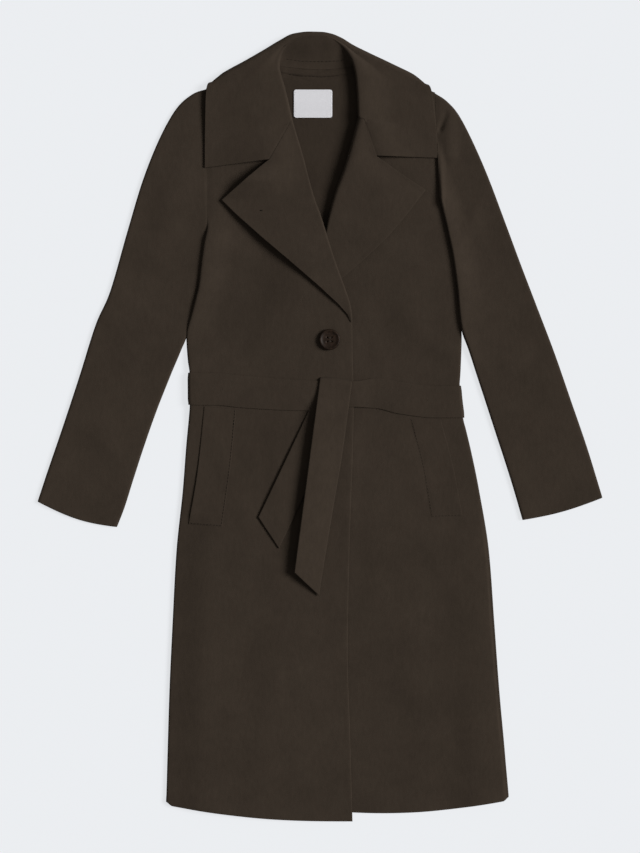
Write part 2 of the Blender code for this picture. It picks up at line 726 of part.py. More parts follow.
def tie(name, rows, cut, hook, look):
    """A falling belt end with a slanted cut and one edge lifted. With hook it starts over the belt."""
    rows = finer(rows, 2)
    across = np.linspace(-0.5, 0.5, 5)
    count = len(rows["x"])
    way = np.stack([np.gradient(rows["x"]), np.gradient(rows["y"])], axis=1)
    way /= np.linalg.norm(way, axis=1, keepdims=True)
    sections = []
    for index in range(count):
        place = np.array([rows["x"][index], rows["y"][index]])
        aside = np.array([-way[index, 1], way[index, 0]])
        end_share = index / (count - 1)
        slide = cut * (across + 0.5) * smooth(0.6, 1.0, end_share)
        plan = place + np.outer(across * BELT_WIDTH, aside) + np.outer(slide, way[index])
        x, y = plan.T
        z = upper_z(x, y) + HALF + BELT / 2 + rows["clear"][index] + rows["lift"][index] * (0.5 - across)
        sections.append(np.column_stack([plan, z]))
    if hook:
        first = sections[0]
        top = first[:, 2].max()
        first[:, 2] = top
        bow = 1 - 4 * across**2
        for turn in np.radians([50, 20, 0]):
            curved = first.copy()
            curved[:, :2] -= way[0] * (hook + 2.0 * bow)[:, None] * math.cos(turn)
            curved[:, 2] = top - hook * (1 - math.sin(turn))
            sections.insert(0, curved)
    return wall(name, sections, BELT, look)


def label(name, look):
    sections = []
    x = np.linspace(*LABEL_X, 4)
    for y in np.linspace(*LABEL_Y, 6):
        z = back_z(x, np.full(4, y)) + HALF + AIR + LABEL / 2
        sections.append(np.stack([x, np.full(4, y), z], axis=1))
    return wall(name, sections, LABEL, look)


def button(name, look):
    """A turned button with a raised rim and four sewing holes."""
    radius = BUTTON_DIAMETER / 2
    profile = table(
        "part height",
        [(0.90, 0.0), (1.0, 0.28), (1.0, 0.68), (0.94, 1.0), (0.80, 1.0), (0.68, 0.74)],
    )
    steps = 32
    around = np.radians(np.arange(steps) * 360 / steps)
    rim_x = BUTTON_X + radius * np.cos(around)
    rim_y = BUTTON_Y + radius * np.sin(around)
    seat = float(upper_z(rim_x, rim_y).max()) + HALF + BUTTON_REST
    points = []
    faces = []
    for part, height in zip(*profile.values()):
        ring_x = BUTTON_X + radius * part * np.cos(around)
        ring_y = BUTTON_Y + radius * part * np.sin(around)
        points += np.stack([ring_x, ring_y, np.full(steps, seat + BUTTON_THICK * height)], axis=1).tolist()
    rings = len(profile["part"])
    for ring in range(rings - 1):
        for step in range(steps):
            a = ring * steps + step
            b = ring * steps + (step + 1) % steps
            faces.append((a, b, b + steps, a + steps))
    faces.append(tuple(reversed(range(steps))))
    faces.append(tuple(range((rings - 1) * steps, rings * steps)))
    made = add_object(name, points, faces, look)
    for index in range(4):
        turn = math.radians(45 + 90 * index)
        hole_x = BUTTON_X + BUTTON_HOLE_STEP / math.sqrt(2) * math.cos(turn)
        hole_y = BUTTON_Y + BUTTON_HOLE_STEP / math.sqrt(2) * math.sin(turn)
        sides = np.radians(np.arange(10) * 36)
        side_x = hole_x + BUTTON_HOLE / 2 * np.cos(sides)
        side_y = hole_y + BUTTON_HOLE / 2 * np.sin(sides)
        low = np.stack([side_x, side_y, np.full(10, seat - 2)], axis=1)
        high = np.stack([side_x, side_y, np.full(10, seat + BUTTON_THICK + 2)], axis=1)
        walls = [(i, (i + 1) % 10, (i + 1) % 10 + 10, i + 10) for i in range(10)]
        ends = [tuple(reversed(range(10))), tuple(range(10, 20))]
        drill = add_object(f"hole_{index}", np.concatenate([low, high]), walls + ends, look)
        drill.hide_render = True
        drill.display_type = "WIRE"
        cut = made.modifiers.new(f"hole_{index}", "BOOLEAN")
        cut.operation = "DIFFERENCE"
        cut.solver = "EXACT"
        cut.object = drill
    return made


def main():
    for old in list(bpy.data.objects):
        bpy.data.objects.remove(old)
    wool = material("brown_wool", (0.042, 0.031, 0.024), 0.95)
    inside = material("brown_wool_inside", (0.038, 0.028, 0.021), 0.95)
    horn = material("brown_horn", (0.020, 0.012, 0.008), 0.35)
    woven = material("white_label", (0.72, 0.72, 0.74), 0.7)
    back_panel("back", inside)
    front_panel("front_right", FRONT_RIGHT, wool)
    front_panel("front_left", FRONT_LEFT, wool)
    lapel("lapel_right", FRONT_RIGHT, wool)
    lapel("lapel_left", FRONT_LEFT, wool)
    collar("collar", wool)
    sleeve("sleeve_right", SLEEVE_RIGHT, wool)
    sleeve("sleeve_left", SLEEVE_LEFT, wool)
    welt("pocket_welt_right", FRONT_RIGHT, WELT_RIGHT, wool)
    welt("pocket_welt_left", FRONT_LEFT, WELT_LEFT, wool)
    belt("belt", wool)
    tie("belt_tie_over", TIE_OVER, TIE_OVER_CUT, TIE_HOOK, wool)
    tie("belt_tie_under", TIE_UNDER, TIE_UNDER_CUT, 0.0, wool)
    button("button", horn)
    label("label", woven)


main()
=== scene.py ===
"""Looks of the long belted wool coat, laid flat on a pale floor and seen from above.

Lengths are in millimetres here and become metres in the meshes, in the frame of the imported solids: X
runs across the coat towards the wearer's left side, Y along it towards the collar, and Z up from the
floor. A cloth piece is given by its middle surface, in rows of points, and gets rounded edges.
"""

import math

import bmesh
import bpy
import numpy as np
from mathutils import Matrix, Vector, noise


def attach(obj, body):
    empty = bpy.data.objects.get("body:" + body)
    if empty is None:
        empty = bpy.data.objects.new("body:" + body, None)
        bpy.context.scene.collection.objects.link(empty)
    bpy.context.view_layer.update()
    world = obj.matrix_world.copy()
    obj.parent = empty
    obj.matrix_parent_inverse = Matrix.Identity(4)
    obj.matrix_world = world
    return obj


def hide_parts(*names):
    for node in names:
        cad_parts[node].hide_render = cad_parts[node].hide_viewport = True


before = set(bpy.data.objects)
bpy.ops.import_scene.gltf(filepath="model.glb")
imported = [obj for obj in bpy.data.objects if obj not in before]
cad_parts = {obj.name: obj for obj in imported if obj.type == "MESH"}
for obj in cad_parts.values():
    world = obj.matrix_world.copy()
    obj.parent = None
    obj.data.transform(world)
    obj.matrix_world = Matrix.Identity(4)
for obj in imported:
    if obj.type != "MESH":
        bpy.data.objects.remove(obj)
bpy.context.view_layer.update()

METRES = 0.001

# Cloth and how it lies
CLOTH = 2.2
HALF = CLOTH / 2
SEAM = 0.65
AIR = 0.7
BULGE_REACH = 45.0
SWELL = 5.0
SWELL_SIDE = 50.0
SWELL_REACH = 210.0
SWELL_BELOW_BELT = 190.0
FOLD = 1.8
SLEEVE_FOLD_WIDTH = 3.4
FOLD_SEAM = 1.1
SHOULDER_REACH = 35.0
SHOULDER_CLEAR = 2.8
SHOULDER_START_RIGHT = (66.9, 72)
SHOULDER_START_LEFT = (60.9, 67)
UNDERARM_REACH = 12
LEAF_Z = 13.0
LEAF_ROLL = 3.0
SHARP_ROLL = 0.06
LAPEL_CROWN = 0.7
LAPEL_CROWN_WIDTH = (20, 70)
PAST_GORGE = 7.0
GORGE_LEVEL = (380, 386)

# Soft unevenness of the cloth: height, width of the bumps and seed. It starts inside the fronts' sides
FRONT_WAVES = (0.3, 70, 3.1)
FRONT_WAVES_START = (6, 40)
LAPEL_WAVES = (0.3, 55, 7.7)
SLEEVE_WAVES = (0.35, 60, 5.3)
BACK_SEAM_WAVES = (0.9, 14, 4.4)
STAND_SEAM_WAVES = (0.9, 14, 2.2)

# Lap of the right front over the left one
LAP_RISE = CLOTH + AIR + 0.1
LAPEL_LAP_RISE = 6.8
LAP_RISE_Y = (92, 148, 292, 352)
LAP_RAMP = 95.0
LAP_EDGE = 4
EDGE_STEP = (1, 30)
HIDDEN_EDGE_X = -31.0

# Belt and its ends
BELT = 2.4
BELT_WIDTH = 46.0
BELT_REST = 0.25
BELT_RISE = BELT + BELT_REST
BELT_EASE = 2.5
BACK_BELT_REACH = 12.0
FRONT_BELT_REACH = 48.0
BELT_BACK_X = (-188.0, 207.0)
BELT_BACK_Y = (54.0, 35.5)
TIE_CUT_PART = (0.6, 1.0)
TIE_NARROW_PART = (0.45, 1.0)
TIE_BOW = 2.0

# Runs of the belt: first and last X and number of sections
BELT_RIGHT_RUN = (8, -174, 46)
BELT_BACK_RUN = (-170, 186, 60)
BELT_LEFT_RUN = (184, 13, 44)

# Collar under the back, and the level above which its low edge is sewn to the back's neckline
COLLAR_RISE = CLOTH + AIR + 0.2
COLLAR_UNDER_REACH = (44, 88)
NECK_LEVEL = 510

# Collar: levels of its roll, shares of its leaf's width, and its laps at the gorges and the neck
CREST_LEVELS = (436, 520)
CREST_REACH = 0.45
LEAF_FALL = 0.8
LEAF_END = 0.9
UNDER_CLEAR = 0.05
GORGE_RUN = 3.5
GORGE_SINK = 0.3
GORGE_SINK_END = 3.0
GORGE_LAP = 1.2
NECK_LAP = 1.6

# Button and label
BUTTON_DIAMETER = 30.0
BUTTON_THICK = 4.4
BUTTON_X, BUTTON_Y = 13.7, 124.2
BUTTON_REST = 0.2
BUTTON_DISH = 0.66
BUTTON_HOLE = 2.6
BUTTON_HOLE_STEP = 5.4
BUTTON_SIDES = 72
HOLE_SIDES = 20
DRILL_PAST = 2
LABEL = 1.0
LABEL_X = (-37.5, 17.5)
LABEL_Y = (442.0, 482.0)
LABEL_CORNER = 3.2

# Sewn armholes, and the sleeves' inner folds against the body
ARMHOLE_CLOSE = 0.7
SLEEVE_CLOSE = 2.4
SLEEVE_CLOSE_Y = (108, 140)
SIDE_LIFT = 5.6
SIDE_LIFT_Y = (110, 175, 270, 296)
SLEEVE_LIFT = 6.6
SLEEVE_LIFT_Y = (70, 150, 312, 332)
SLEEVE_LIFT_REACH = 85.0
SLEEVE_HEAD_LIFT = 0.6
SLEEVE_HEAD_PART = (0.4, 0.62)
SLEEVE_HEAD_ROWS = 16
SLEEVE_SEWN_ROWS = 10
SLEEVE_SINK_ROWS = 7
ARMHOLE_SINK = 0.6
ARMHOLE_SINK_REACH = 9

# Finish of the cloth edges
RIM_TURNS = np.radians([0, 24, 48, 70, 90])
RIM_LIMIT = 0.9
SEWN_LEVEL = 0.85
TURN_WIDTH = 7.0
TURN_SOFT = 1.5
TURN_RISE = 0.16
PRESS_WIDTH = 9.0
PRESS_SHARE = 0.32

# Felled seam behind the neck, by the distance from its line, and where it ends at both sides
FELL = 0.6
FELL_START = (0.5, 3.0)
FELL_EDGE = (8.0, 9.8)
FELL_STITCH = 10.2
FELL_STITCH_WIDTH = 1.1
BACK_SEAM_ENDS = (66, 60)
STAND_SEAM_ENDS = (58, 50)
STAND_FACING = 0.3
STAND_ABOVE = 2.4

# Threads: radius, length and gap of the stitches, and how they lie
STITCH_RISE = 0.22
THREAD_END = 0.55
# The neck stitches are dark and close, so that they also paint the shade of the seam's puckers.
NECK_THREAD, NECK_STITCH = 0.24, (4.2, 1.4)
LABEL_THREAD, LABEL_STITCH = 0.16, (2.2, 1.2)
LABEL_STITCH_INSET = 2.2
LABEL_STITCH_END = 3
# The welt stitches are dark, thick and close, so that they also paint the shade of the groove along each
# welt's sewn edge.
WELT_STITCH = (3.6, 1.0)
WELT_THREAD_RIGHT = 0.34
WELT_THREAD_LEFT = 0.2
WELT_STITCH_INSET = 1.6
TACK_THREAD = 0.42
TACK_LENGTH = 3.4
TACK_ARCH = 0.5
TACK_ASIDE = (0.3, -0.7, 0.0)
BUTTON_THREAD = 0.4
STRAND_ASIDE = 0.42
STRAND_SINK = 1.8
STRAND_ARCH = 2.3
STRAND_BEND = 0.35

# Fineness of the meshes: rows, columns, longest steps, and parts between the rows of a table
FRONT_COLUMNS = 62
FRONT_ROW_STEP = 6.0
SHOULDER_ROWS = 8
LAPEL_COLUMNS = 40
LAPEL_ROW_STEP = 4.0
BACK_COLUMNS = 90
BACK_TABLE_ROWS = 22.0
BACK_ROW_STEP = 0.12
SLEEVE_PARTS = 14
COLLAR_PARTS = 6
WELT_PARTS = 26
TIE_PARTS = 12


def table(columns, rows):
    """A short table as one array for each named column."""
    return dict(zip(columns.split(), np.array(rows, float).T))


# Each front, from the hem to the shoulder. facing is the way from its side towards the front edge, and
# roll_press how round its lapel's roll is: 1 is a half circle, and less is more pressed.
FRONT_RIGHT = {
    "facing": 1,
    "roll_press": 0.5,
    "underarm": 288.0,
    "shoulder": ((-162.0, 483.0), (-68.0, 517.5)),
    "rows": table("side_y side_x front_y droop", [
        (-542, -220.5, -565, -7), (-470, -218.5, -488, -3), (-380, -215.8, -390, -1),
        (-280, -211.2, -285, 0), (-180, -205.8, -184, 0), (-90, -196.5, -95, 0), (-25, -191.5, -34, 0),
        (16.5, -187.5, 5.5, 0), (28.5, -186.6, 17.5, 0), (79.5, -187, 68.5, 0), (91.5, -189, 80.5, 0),
        (130, -191.5, 118, 0), (165, -183.3, 152, 0), (170, -182.0, 158, 0), (182, -179.0, 174, 0),
        (200, -174.6, 197, 0), (236, -170.3, 236, 0), (262, -166.6, 270, 0), (288, -161.9, 304, 0),
        (300, -162, 324, 0), (330, -162, 352, 0), (362, -162, 381, 0), (410, -162, 432, 0),
        (422, -162, 433.5, 0), (442, -162, 470, 0),
    ]),
    "edge": table("y x", [
        (-564, 46.5), (-440, 43.0), (-320, 39.5), (-180, 42.0), (30, 48.0), (110, 46.5), (152, 46.0),
    ]),
    "lapel": table("roll_y roll_x tip_y tip_x tip_z radius", [
        (158, 46.0, 160, 39.5, 13.9, 1.7), (174, 43.5, 174, 27, 14.9, 2.2),
        (197, 36.0, 198, 1, 16.8, 2.6), (236, 22.0, 236, -43, 18.2, 2.8),
        (270, 11.0, 270, -83, 15.6, 3.1), (304, 0.5, 304, -121, 11.2, 3.2),
        (324, -7.0, 324, -141, 8.8, 3.0), (352, -15.0, 352, -107.5, 22.0, 2.8),
        (369, -19.4, 369, -87.3, 20.0, 2.75), (381, -22.5, 381, -73, 13.4, 2.7),
        (432, -37.5, 432, -43.7, 9.6, 2.7),
    ]),
    "neck": table("y x", [(433.5, -52.8), (517.5, -68.0)]),
}
FRONT_LEFT = {
    "facing": -1,
    "roll_press": 0.72,
    "underarm": 330.0,
    "shoulder": ((163.6, 477.0), (62.3, 517.2)),
    "rows": table("side_y side_x front_y droop", [
        (-535, 270.5, -547, -12), (-465, 264.8, -480, -5), (-380, 257.1, -388, -1),
        (-280, 249.7, -285, 0), (-180, 242.2, -182, 0), (-90, 227.7, -92, 0), (-43, 218.2, -34, 0),
        (-2, 208.4, 9, 0), (10, 205.2, 21, 0), (61, 200, 72, 0), (73, 201, 84, 0), (130, 203.0, 118, 0),
        (165, 201.2, 152, 0), (170, 200.4, 158, 0), (184, 198.8, 174, 0), (205, 196.6, 197, 0),
        (245, 191.2, 236, 0), (290, 181.8, 270, 0), (330, 171.8, 304, 0), (342, 171.1, 338, 0),
        (362, 170, 360, 0), (384, 168.7, 386, 0), (418, 166.7, 436, 0), (428, 166.1, 437.5, 0),
        (446, 165.1, 470, 0),
    ]),
    "edge": table("y x", [(-560, HIDDEN_EDGE_X), (152, HIDDEN_EDGE_X)]),
    "lapel": table("roll_y roll_x tip_y tip_x tip_z radius", [
        (158, -31.0, 160, -24, 7.3, 1.7), (174, -27.5, 174, -11, 7.3, 1.7),
        (197, -20.0, 198, 15, 7.4, 1.7), (236, -6.0, 236, 60, 7.5, 1.75), (270, 5.5, 270, 96, 7.8, 2.0),
        (304, 13.0, 304, 125, 8.4, 4.6), (338, 22.6, 338, 151, 9.6, 6.2),
        (360, 30.8, 360, 118, 10.8, 7.0), (386, 39.4, 386, 81, 14.2, 7.4),
        (436, 53.0, 436, 63.4, 18.8, 7.4),
    ]),
    "neck": table("y x", [(437.5, 67.9), (517.2, 62.3)]),
}

# Soft ridges and troughs of the laid fronts, each along a line
RIDGE_COLUMNS = "x0 y0 x1 y1 half height"
RIDGES = table(RIDGE_COLUMNS, [
    (-96, -160, -110, -580, 84, 0.8), (-34, -330, -20, -600, 70, 0.9), (104, -150, 112, -600, 76, 0.9),
    (228, -250, 242, -600, 46, 1.5), (206, -200, 214, -600, 108, 3.4), (-118, 190, -110, 130, 42, 0.9),
    (122, 225, 138, 120, 44, 0.9),
])
CREASES = table(RIDGE_COLUMNS, [
    (-50, -330, -44, -395, 15, -0.45), (-141, -449, -57, -453, 9, -0.35), (60, 124, 68, 117, 13, -0.4),
    (172, -150, 188, -560, 40, -0.35), (-96, -70, -118, -250, 30, 0.5), (-160, 120, -120, 96, 16, 0.45),
    (148, 96, 184, 118, 15, 0.45), (160, -170, 196, -250, 24, 0.5), (-20, -190, -12, -300, 26, 0.5),
    (72, -80, 80, -230, 28, 0.5),
])
SLEEVE_CREASES = table(RIDGE_COLUMNS, [
    (-196, 440, -234, 250, 44, 1.6), (-318, 196, -302, 146, 16, 1.2), (-296, 150, -246, 128, 17, 0.6),
    (-262, 210, -214, 176, 20, 0.5), (-286, 96, -268, 60, 24, 0.5), (-222, 330, -204, 286, 20, 0.6),
    (-330, 30, -300, -14, 28, 0.6), (181, 446, 172, 426, 7, -3.4), (190, 444, 185, 390, 18, 3.0),
    (226, 316, 206, 268, 22, 0.6), (270, 196, 226, 160, 18, 0.7), (262, 240, 238, 214, 20, 0.5),
    (300, 130, 268, 96, 22, 0.6), (330, 40, 306, -6, 28, 0.6),
])

# Soft creases of the undersides, which the layers above follow
UNDER_CREASES = table(RIDGE_COLUMNS, [
    (-150, -20, -96, -150, 26, 0.7), (-70, -10, -58, -120, 20, 0.5), (44, -14, 38, -190, 24, 0.7),
    (120, -30, 168, -140, 28, 0.8), (-178, -250, -158, -560, 34, 0.6), (-70, -300, -82, -580, 40, 0.6),
    (128, -280, 146, -570, 42, 0.9), (214, -420, 226, -560, 26, 0.6), (-168, 100, -104, 148, 22, 0.7),
    (-96, 92, -60, 190, 26, 0.6), (22, 86, 30, 170, 20, 0.4), (92, 88, 62, 168, 24, 0.6),
    (186, 96, 118, 160, 22, 0.8), (-150, 268, -86, 226, 24, 0.7), (158, 300, 92, 262, 24, 0.7),
    (-120, 400, -30, 380, 30, 0.5), (124, 396, 40, 372, 28, 0.5), (-232, 300, -196, 262, 18, 0.6),
    (-286, 186, -232, 150, 18, 0.8), (-294, 138, -262, 104, 16, 0.5), (-352, 10, -296, -36, 22, 0.6),
    (-376, -60, -330, -96, 18, 0.5), (232, 322, 204, 272, 18, 0.6), (284, 190, 232, 132, 20, 0.8),
    (300, 110, 262, 76, 16, 0.5), (352, 4, 296, -48, 22, 0.6), (378, -66, 330, -92, 18, 0.5),
])

# Collar from the right notch round the neck to the left notch. low is its neck seam, inner its roll,
# outer its free edge or its fold, and under the free edge of the part that is folded beneath.
COLLAR_COLUMNS = "low_x low_y low_on_back inner_x inner_y roll outer_x outer_y edge_z under_x under_y folded"
COLLAR = table(COLLAR_COLUMNS, [
    (-73.5, 381.4, 0, -73.5, 381.4, 0, -165.0, 370.0, 6.9, -165, 370, 0),
    (-59.0, 406.9, 0, -59.0, 406.9, 0, -165.0, 397.0, 7.4, -165, 397, 0),
    (-43.8, 433.6, 0, -43.8, 433.6, 0, -164.8, 421.0, 8.5, -165, 421, 0),
    (-52.8, 437.0, -0.3, -40.5, 438.5, 1, -164.6, 430.0, 9.0, -165, 430, 0),
    (-56.8, 459.0, 0, -45.0, 460.0, 1, -164.2, 449.0, 10.3, -164, 449, 0),
    (-61.0, 482.0, 0, -50.5, 483.0, 1, -163.4, 472.0, 11.4, -163, 472, 0),
    (-64.8, 503.0, 0, -56.0, 502.0, 1, -160.2, 489.4, 12.4, -156, 482, 0),
    (-67.4, 518.9, 0.1, -58.5, 513.0, 1, -143.0, 503.0, LEAF_Z, -146, 491.5, 1),
    (-58.0, 518.0, 1, -58.5, 522.5, 1, -106.0, 524.2, LEAF_Z, -120, 489, 1),
    (-50.0, 516.0, 1, -56.0, 532.0, 1, -80.0, 539.2, LEAF_Z, -95, 489, 1),
    (-40.0, 514.6, 1, -50.0, 542.0, 0.7, -58.0, 552.4, LEAF_Z, -70, 489, 1),
    (-27.0, 513.2, 1, -36.0, 551.0, 0.3, -38.0, 562.2, LEAF_Z, -45, 489, 1),
    (-12.0, 512.3, 1, -15.0, 556.2, 0, -16.0, 565.0, LEAF_Z, -18, 489, 1),
    (2.0, 512.0, 1, 2.0, 556.8, 0, 2.0, 564.6, LEAF_Z, 2, 489, 1),
    (13.0, 512.3, 1, 14.0, 554.6, 0, 16.0, 562.2, LEAF_Z, 20, 489, 1),
    (24.0, 513.2, 1, 26.0, 547.5, 0.3, 31.0, 556.0, LEAF_Z, 42, 489, 1),
    (34.0, 514.6, 1, 34.5, 540.0, 0.7, 47.0, 546.2, LEAF_Z, 64, 489, 1),
    (43.0, 516.0, 1, 41.0, 531.0, 1, 72.0, 533.8, LEAF_Z, 88, 488, 1),
    (51.0, 518.0, 1, 46.0, 522.0, 1, 104.0, 518.6, LEAF_Z, 116, 487, 1),
    (61.3, 518.9, 0.1, 49.0, 512.0, 1, 138.0, 501.0, LEAF_Z, 144, 489, 1),
    (62.5, 502.0, 0, 51.5, 500.5, 1, 156.6, 486.2, 12.8, 154, 479, 0),
    (64.1, 481.0, 0, 53.2, 482.0, 1, 161.2, 469.0, 12.2, 160, 469, 0),
    (65.8, 458.0, 0, 54.6, 459.0, 1, 164.0, 446.0, 11.2, 164, 446, 0),
    (67.1, 440.5, -0.3, 55.2, 442.0, 1, 165.8, 429.0, 9.6, 166, 429, 0),
    (63.4, 438.0, 0, 63.4, 438.0, 0, 166.4, 421.0, 9.0, 166, 421, 0),
    (73.0, 411.5, 0, 73.0, 411.5, 0, 167.6, 402.0, 7.6, 168, 402, 0),
    (81.6, 386.5, 0, 81.6, 386.5, 0, 168.6, 384.0, 6.9, 169, 384, 0),
])

# Puckers beside the neck seam, on the stand and on the back
NECK_PUCKERS = table(RIDGE_COLUMNS, [
    (-52, 539, -55, 530, 4.0, -1.6), (-54, 522.5, -30, 523.0, 2.6, -0.8),
    (-12, 524.5, 34, 523.5, 2.6, -0.8), (-47, 508.6, -12, 513.6, 2.4, -1.0),
    (-28, 515.6, -4, 514.0, 2.2, -0.9), (-10, 506.8, 12, 511.0, 2.4, -1.0),
    (-50, 500.6, -30, 501.6, 2.6, -0.9), (-26, 497.0, -14, 493.0, 2.6, -0.5),
])

# How far the roll stands over or under the leaf, by its x: at the gorges, beside the neck and behind it
ROLL_CREST = (
    ((-73.5, -43.8, 63.4, 81.6), (0.3, -3.4, 5.8, 1.2)),
    ((-40.5, 44.0), (-3.2, 6.5)),
    ((-58.5, -50.0, -36.0, -15.0, 14.0, 44.0), (-3.2, -1.6, 0.4, 2.6, 4.6, 6.5)),
)

# Sleeves from the armhole to the cuff: both folded edges and the bow between them
SLEEVE_COLUMNS = "outer_x outer_y inner_x inner_y bow"
SLEEVE_RIGHT = table(SLEEVE_COLUMNS, [
    (-163.0, 483.5, -163.4, 286, 0), (-183, 475.5, -167.8, 262, 0), (-205.5, 455, -171.2, 238, 0),
    (-229.6, 412, -174.4, 212, 0), (-253.6, 352, -181.8, 176, 0), (-275.6, 279, -193.8, 124, 0),
    (-300.2, 194, -213.4, 75, 0), (-321, 146, -233.6, 24, 0), (-344.4, 72, -251.2, -26, 0),
    (-368.2, 0, -267.4, -76, 1), (-388.8, -60, -279.6, -115, 4), (-404.6, -107.5, -290.8, -144, 7),
])
SLEEVE_LEFT = table(SLEEVE_COLUMNS, [
    (164.7, 477.5, 173.5, 328, 0), (181, 466, 180.9, 300, 0), (197.6, 447, 187.2, 272, 0),
    (217.2, 410, 193.8, 238, 0), (240, 358, 199.2, 196, 0), (264.2, 294, 205.2, 138, 0),
    (287.6, 231, 220.8, 86, 0), (310.6, 171, 236.4, 38, 0), (335.4, 106, 251.2, -8, 0),
    (359.4, 37, 264.2, -48, 0.5), (382.8, -31, 277, -89, 2), (404.6, -102, 290, -134, 4),
])

# Corners of the two pocket welts, at the opening and at the sewn edge
WELT_COLUMNS = "open_x open_y sewn_x sewn_y"
WELT_RIGHT = table(WELT_COLUMNS, [
    (-165.5, 28.5, -120, 24.5), (-175.5, -66, -128.5, -61), (-188, -139.5, -140, -143.5),
])
WELT_LEFT = table(WELT_COLUMNS, [
    (172.5, 10.5, 128.7, 11.5), (190, -55, 146, -56), (204, -128, 159, -130),
])
WELT = 1.1
WELT_BED = 0.1

# Tack on the right lapel
TACK_X, TACK_Y = -84.0, 308.5

# Belt on the front: middle line and width from the right side to the knot and from there on
BELT_FRONT_RIGHT = table("x y width", [
    (-188, 53.5, 46), (-150, 53.5, 46), (-114, 50.0, 46), (-14, 44.5, 43), (8, 45.5, 39),
])
BELT_FRONT_LEFT = table("x y width", [
    (13, 45.5, 38), (50, 46.4, 37), (79, 47.5, 43), (114, 41.0, 46), (164, 35.5, 46), (207, 35.5, 46),
])

# The two belt ends, along their middle line: lift is the height of the left edge over the right one
TIE_OVER = table("x y lift clear", [
    (22.2, 61.5, 0.0, 2.9), (19.7, 42.0, 2.3, 2.9), (16.5, 18.0, 6.0, 5.1), (10.1, -30.0, 7.4, 6.2),
    (2.5, -88.0, 8.0, 5.9), (-6.8, -158.0, 8.9, 4.8), (-13.8, -211.0, 9.2, 1.9),
])
TIE_UNDER = table("x y lift clear", [
    (8.2, 20.2, 0.0, 0.1), (-10.5, -19.0, 0.2, 0.4), (-29.5, -59.5, 0.7, 0.5), (-48.5, -99.5, 0.9, 0.4),
    (-67.4, -139.3, 0.9, 0.3),
])
TIE_OVER_CUT = 29.0
TIE_UNDER_CUT = 28.0
TIE_HOOK = 5.2

# Hems and the left armhole
BACK_HEM_SHORT = 6.0
HEM_CORNER = 4.5
HEM_CORNER_WIDTH = 9
HEM_CORNER_REACH = 26
BACK_HEM_DROOP = 14.0
LEFT_ARMHOLE_SLOPE = 0.058


# Curves and surfaces


def smooth(low, high, value):
    part = np.clip((value - low) / (high - low), 0.0, 1.0)
    return part * part * (3.0 - 2.0 * part)


def eased(keys, values, at):
    """A smooth curve through a column's rows, which never swings past them."""
    keys, values, at = (np.asarray(item, float) for item in (keys, values, at))
    values = values.reshape(len(keys), -1)
    step = np.diff(keys)[:, None]
    rise = np.diff(values, axis=0) / step
    slope = np.zeros(values.shape)
    slope[0], slope[-1] = rise[0], rise[-1]
    before, after = rise[:-1], rise[1:]
    both = before * after
    slope[1:-1] = np.where(both > 0, 2 * both / np.where(both > 0, before + after, 1.0), 0.0)
    flat = np.clip(at.ravel(), keys[0], keys[-1])
    index = np.clip(np.searchsorted(keys, flat, side="right") - 1, 0, len(keys) - 2)
    width = step[index]
    t = (flat - keys[index])[:, None] / width
    low, high = values[index], values[index + 1]
    curve = (
        low * (2 * t**3 - 3 * t**2 + 1)
        + high * (3 * t**2 - 2 * t**3)
        + width * slope[index] * (t**3 - 2 * t**2 + t)
        + width * slope[index + 1] * (t**3 - t**2)
    )
    return curve.reshape(at.shape) if values.shape[1] == 1 else curve


def read(rows, key, column, at):
    """A column of a table at any value of its key column, which rises."""
    return eased(rows[key], rows[column], at)


def finer(rows, parts):
    """The table with more rows, on a smooth curve through its own rows."""
    count = len(next(iter(rows.values())))
    place = np.linspace(0, count - 1, (count - 1) * parts + 1)
    index = np.clip(place.astype(int), 0, count - 2)
    part = place - index
    result = {}
    for name, values in rows.items():
        slope = np.gradient(values)
        step = values[index + 1] - values[index]
        a = slope[index] - step
        b = step - slope[index + 1]
        line = values[index] + step * part
        result[name] = line + part * (1 - part) * (a * (1 - part) + b * part)
    return result


def closer(values, longest):
    """The rising values with more between them, so that no step is longer than asked."""
    steps = [values[:1]]
    for low, high in zip(values[:-1], values[1:]):
        count = max(1, math.ceil((high - low) / longest))
        steps.append(np.linspace(low, high, count + 1)[1:])
    return np.concatenate(steps)


def stacked(x, y, z):
    """Points in a row, from their coordinates."""
    return np.stack([x, y, z], axis=1)


def unevenness(x, y, waves):
    """Soft seeded unevenness, by its height, the width of its bumps and its seed."""
    height, size, seed = waves
    places = zip(np.ravel(x) / size, np.ravel(y) / size)
    values = [noise.noise(Vector((a, b, seed))) for a, b in places]
    return height * np.array(values).reshape(np.shape(x))


def lines_z(lines, x, y):
    """Rise of soft ridges and troughs that each follow a line."""
    rise = np.zeros(np.broadcast(x, y).shape)
    for x0, y0, x1, y1, half, height in zip(*lines.values()):
        way_x, way_y = x1 - x0, y1 - y0
        run = ((x - x0) * way_x + (y - y0) * way_y) / (way_x**2 + way_y**2)
        run = np.clip(run, 0, 1)
        off = np.hypot(x - x0 - run * way_x, y - y0 - run * way_y)
        rise = rise + height * (1 - smooth(0, half, off))
    return rise


def belt_line(x):
    """Middle line of the belt behind the back."""
    return np.interp(x, BELT_BACK_X, BELT_BACK_Y)


def back_top(x):
    """Top edge of the back: shoulder, neckline, shoulder."""
    low = COLLAR["low_y"] > NECK_LEVEL
    neck_x = COLLAR["low_x"][low]
    neck_y = COLLAR["low_y"][low] - 2 * SEAM
    right, left = FRONT_RIGHT["shoulder"][0], FRONT_LEFT["shoulder"][0]
    return np.interp(x, [right[0], *neck_x, left[0]], [right[1], *neck_y, left[1]])


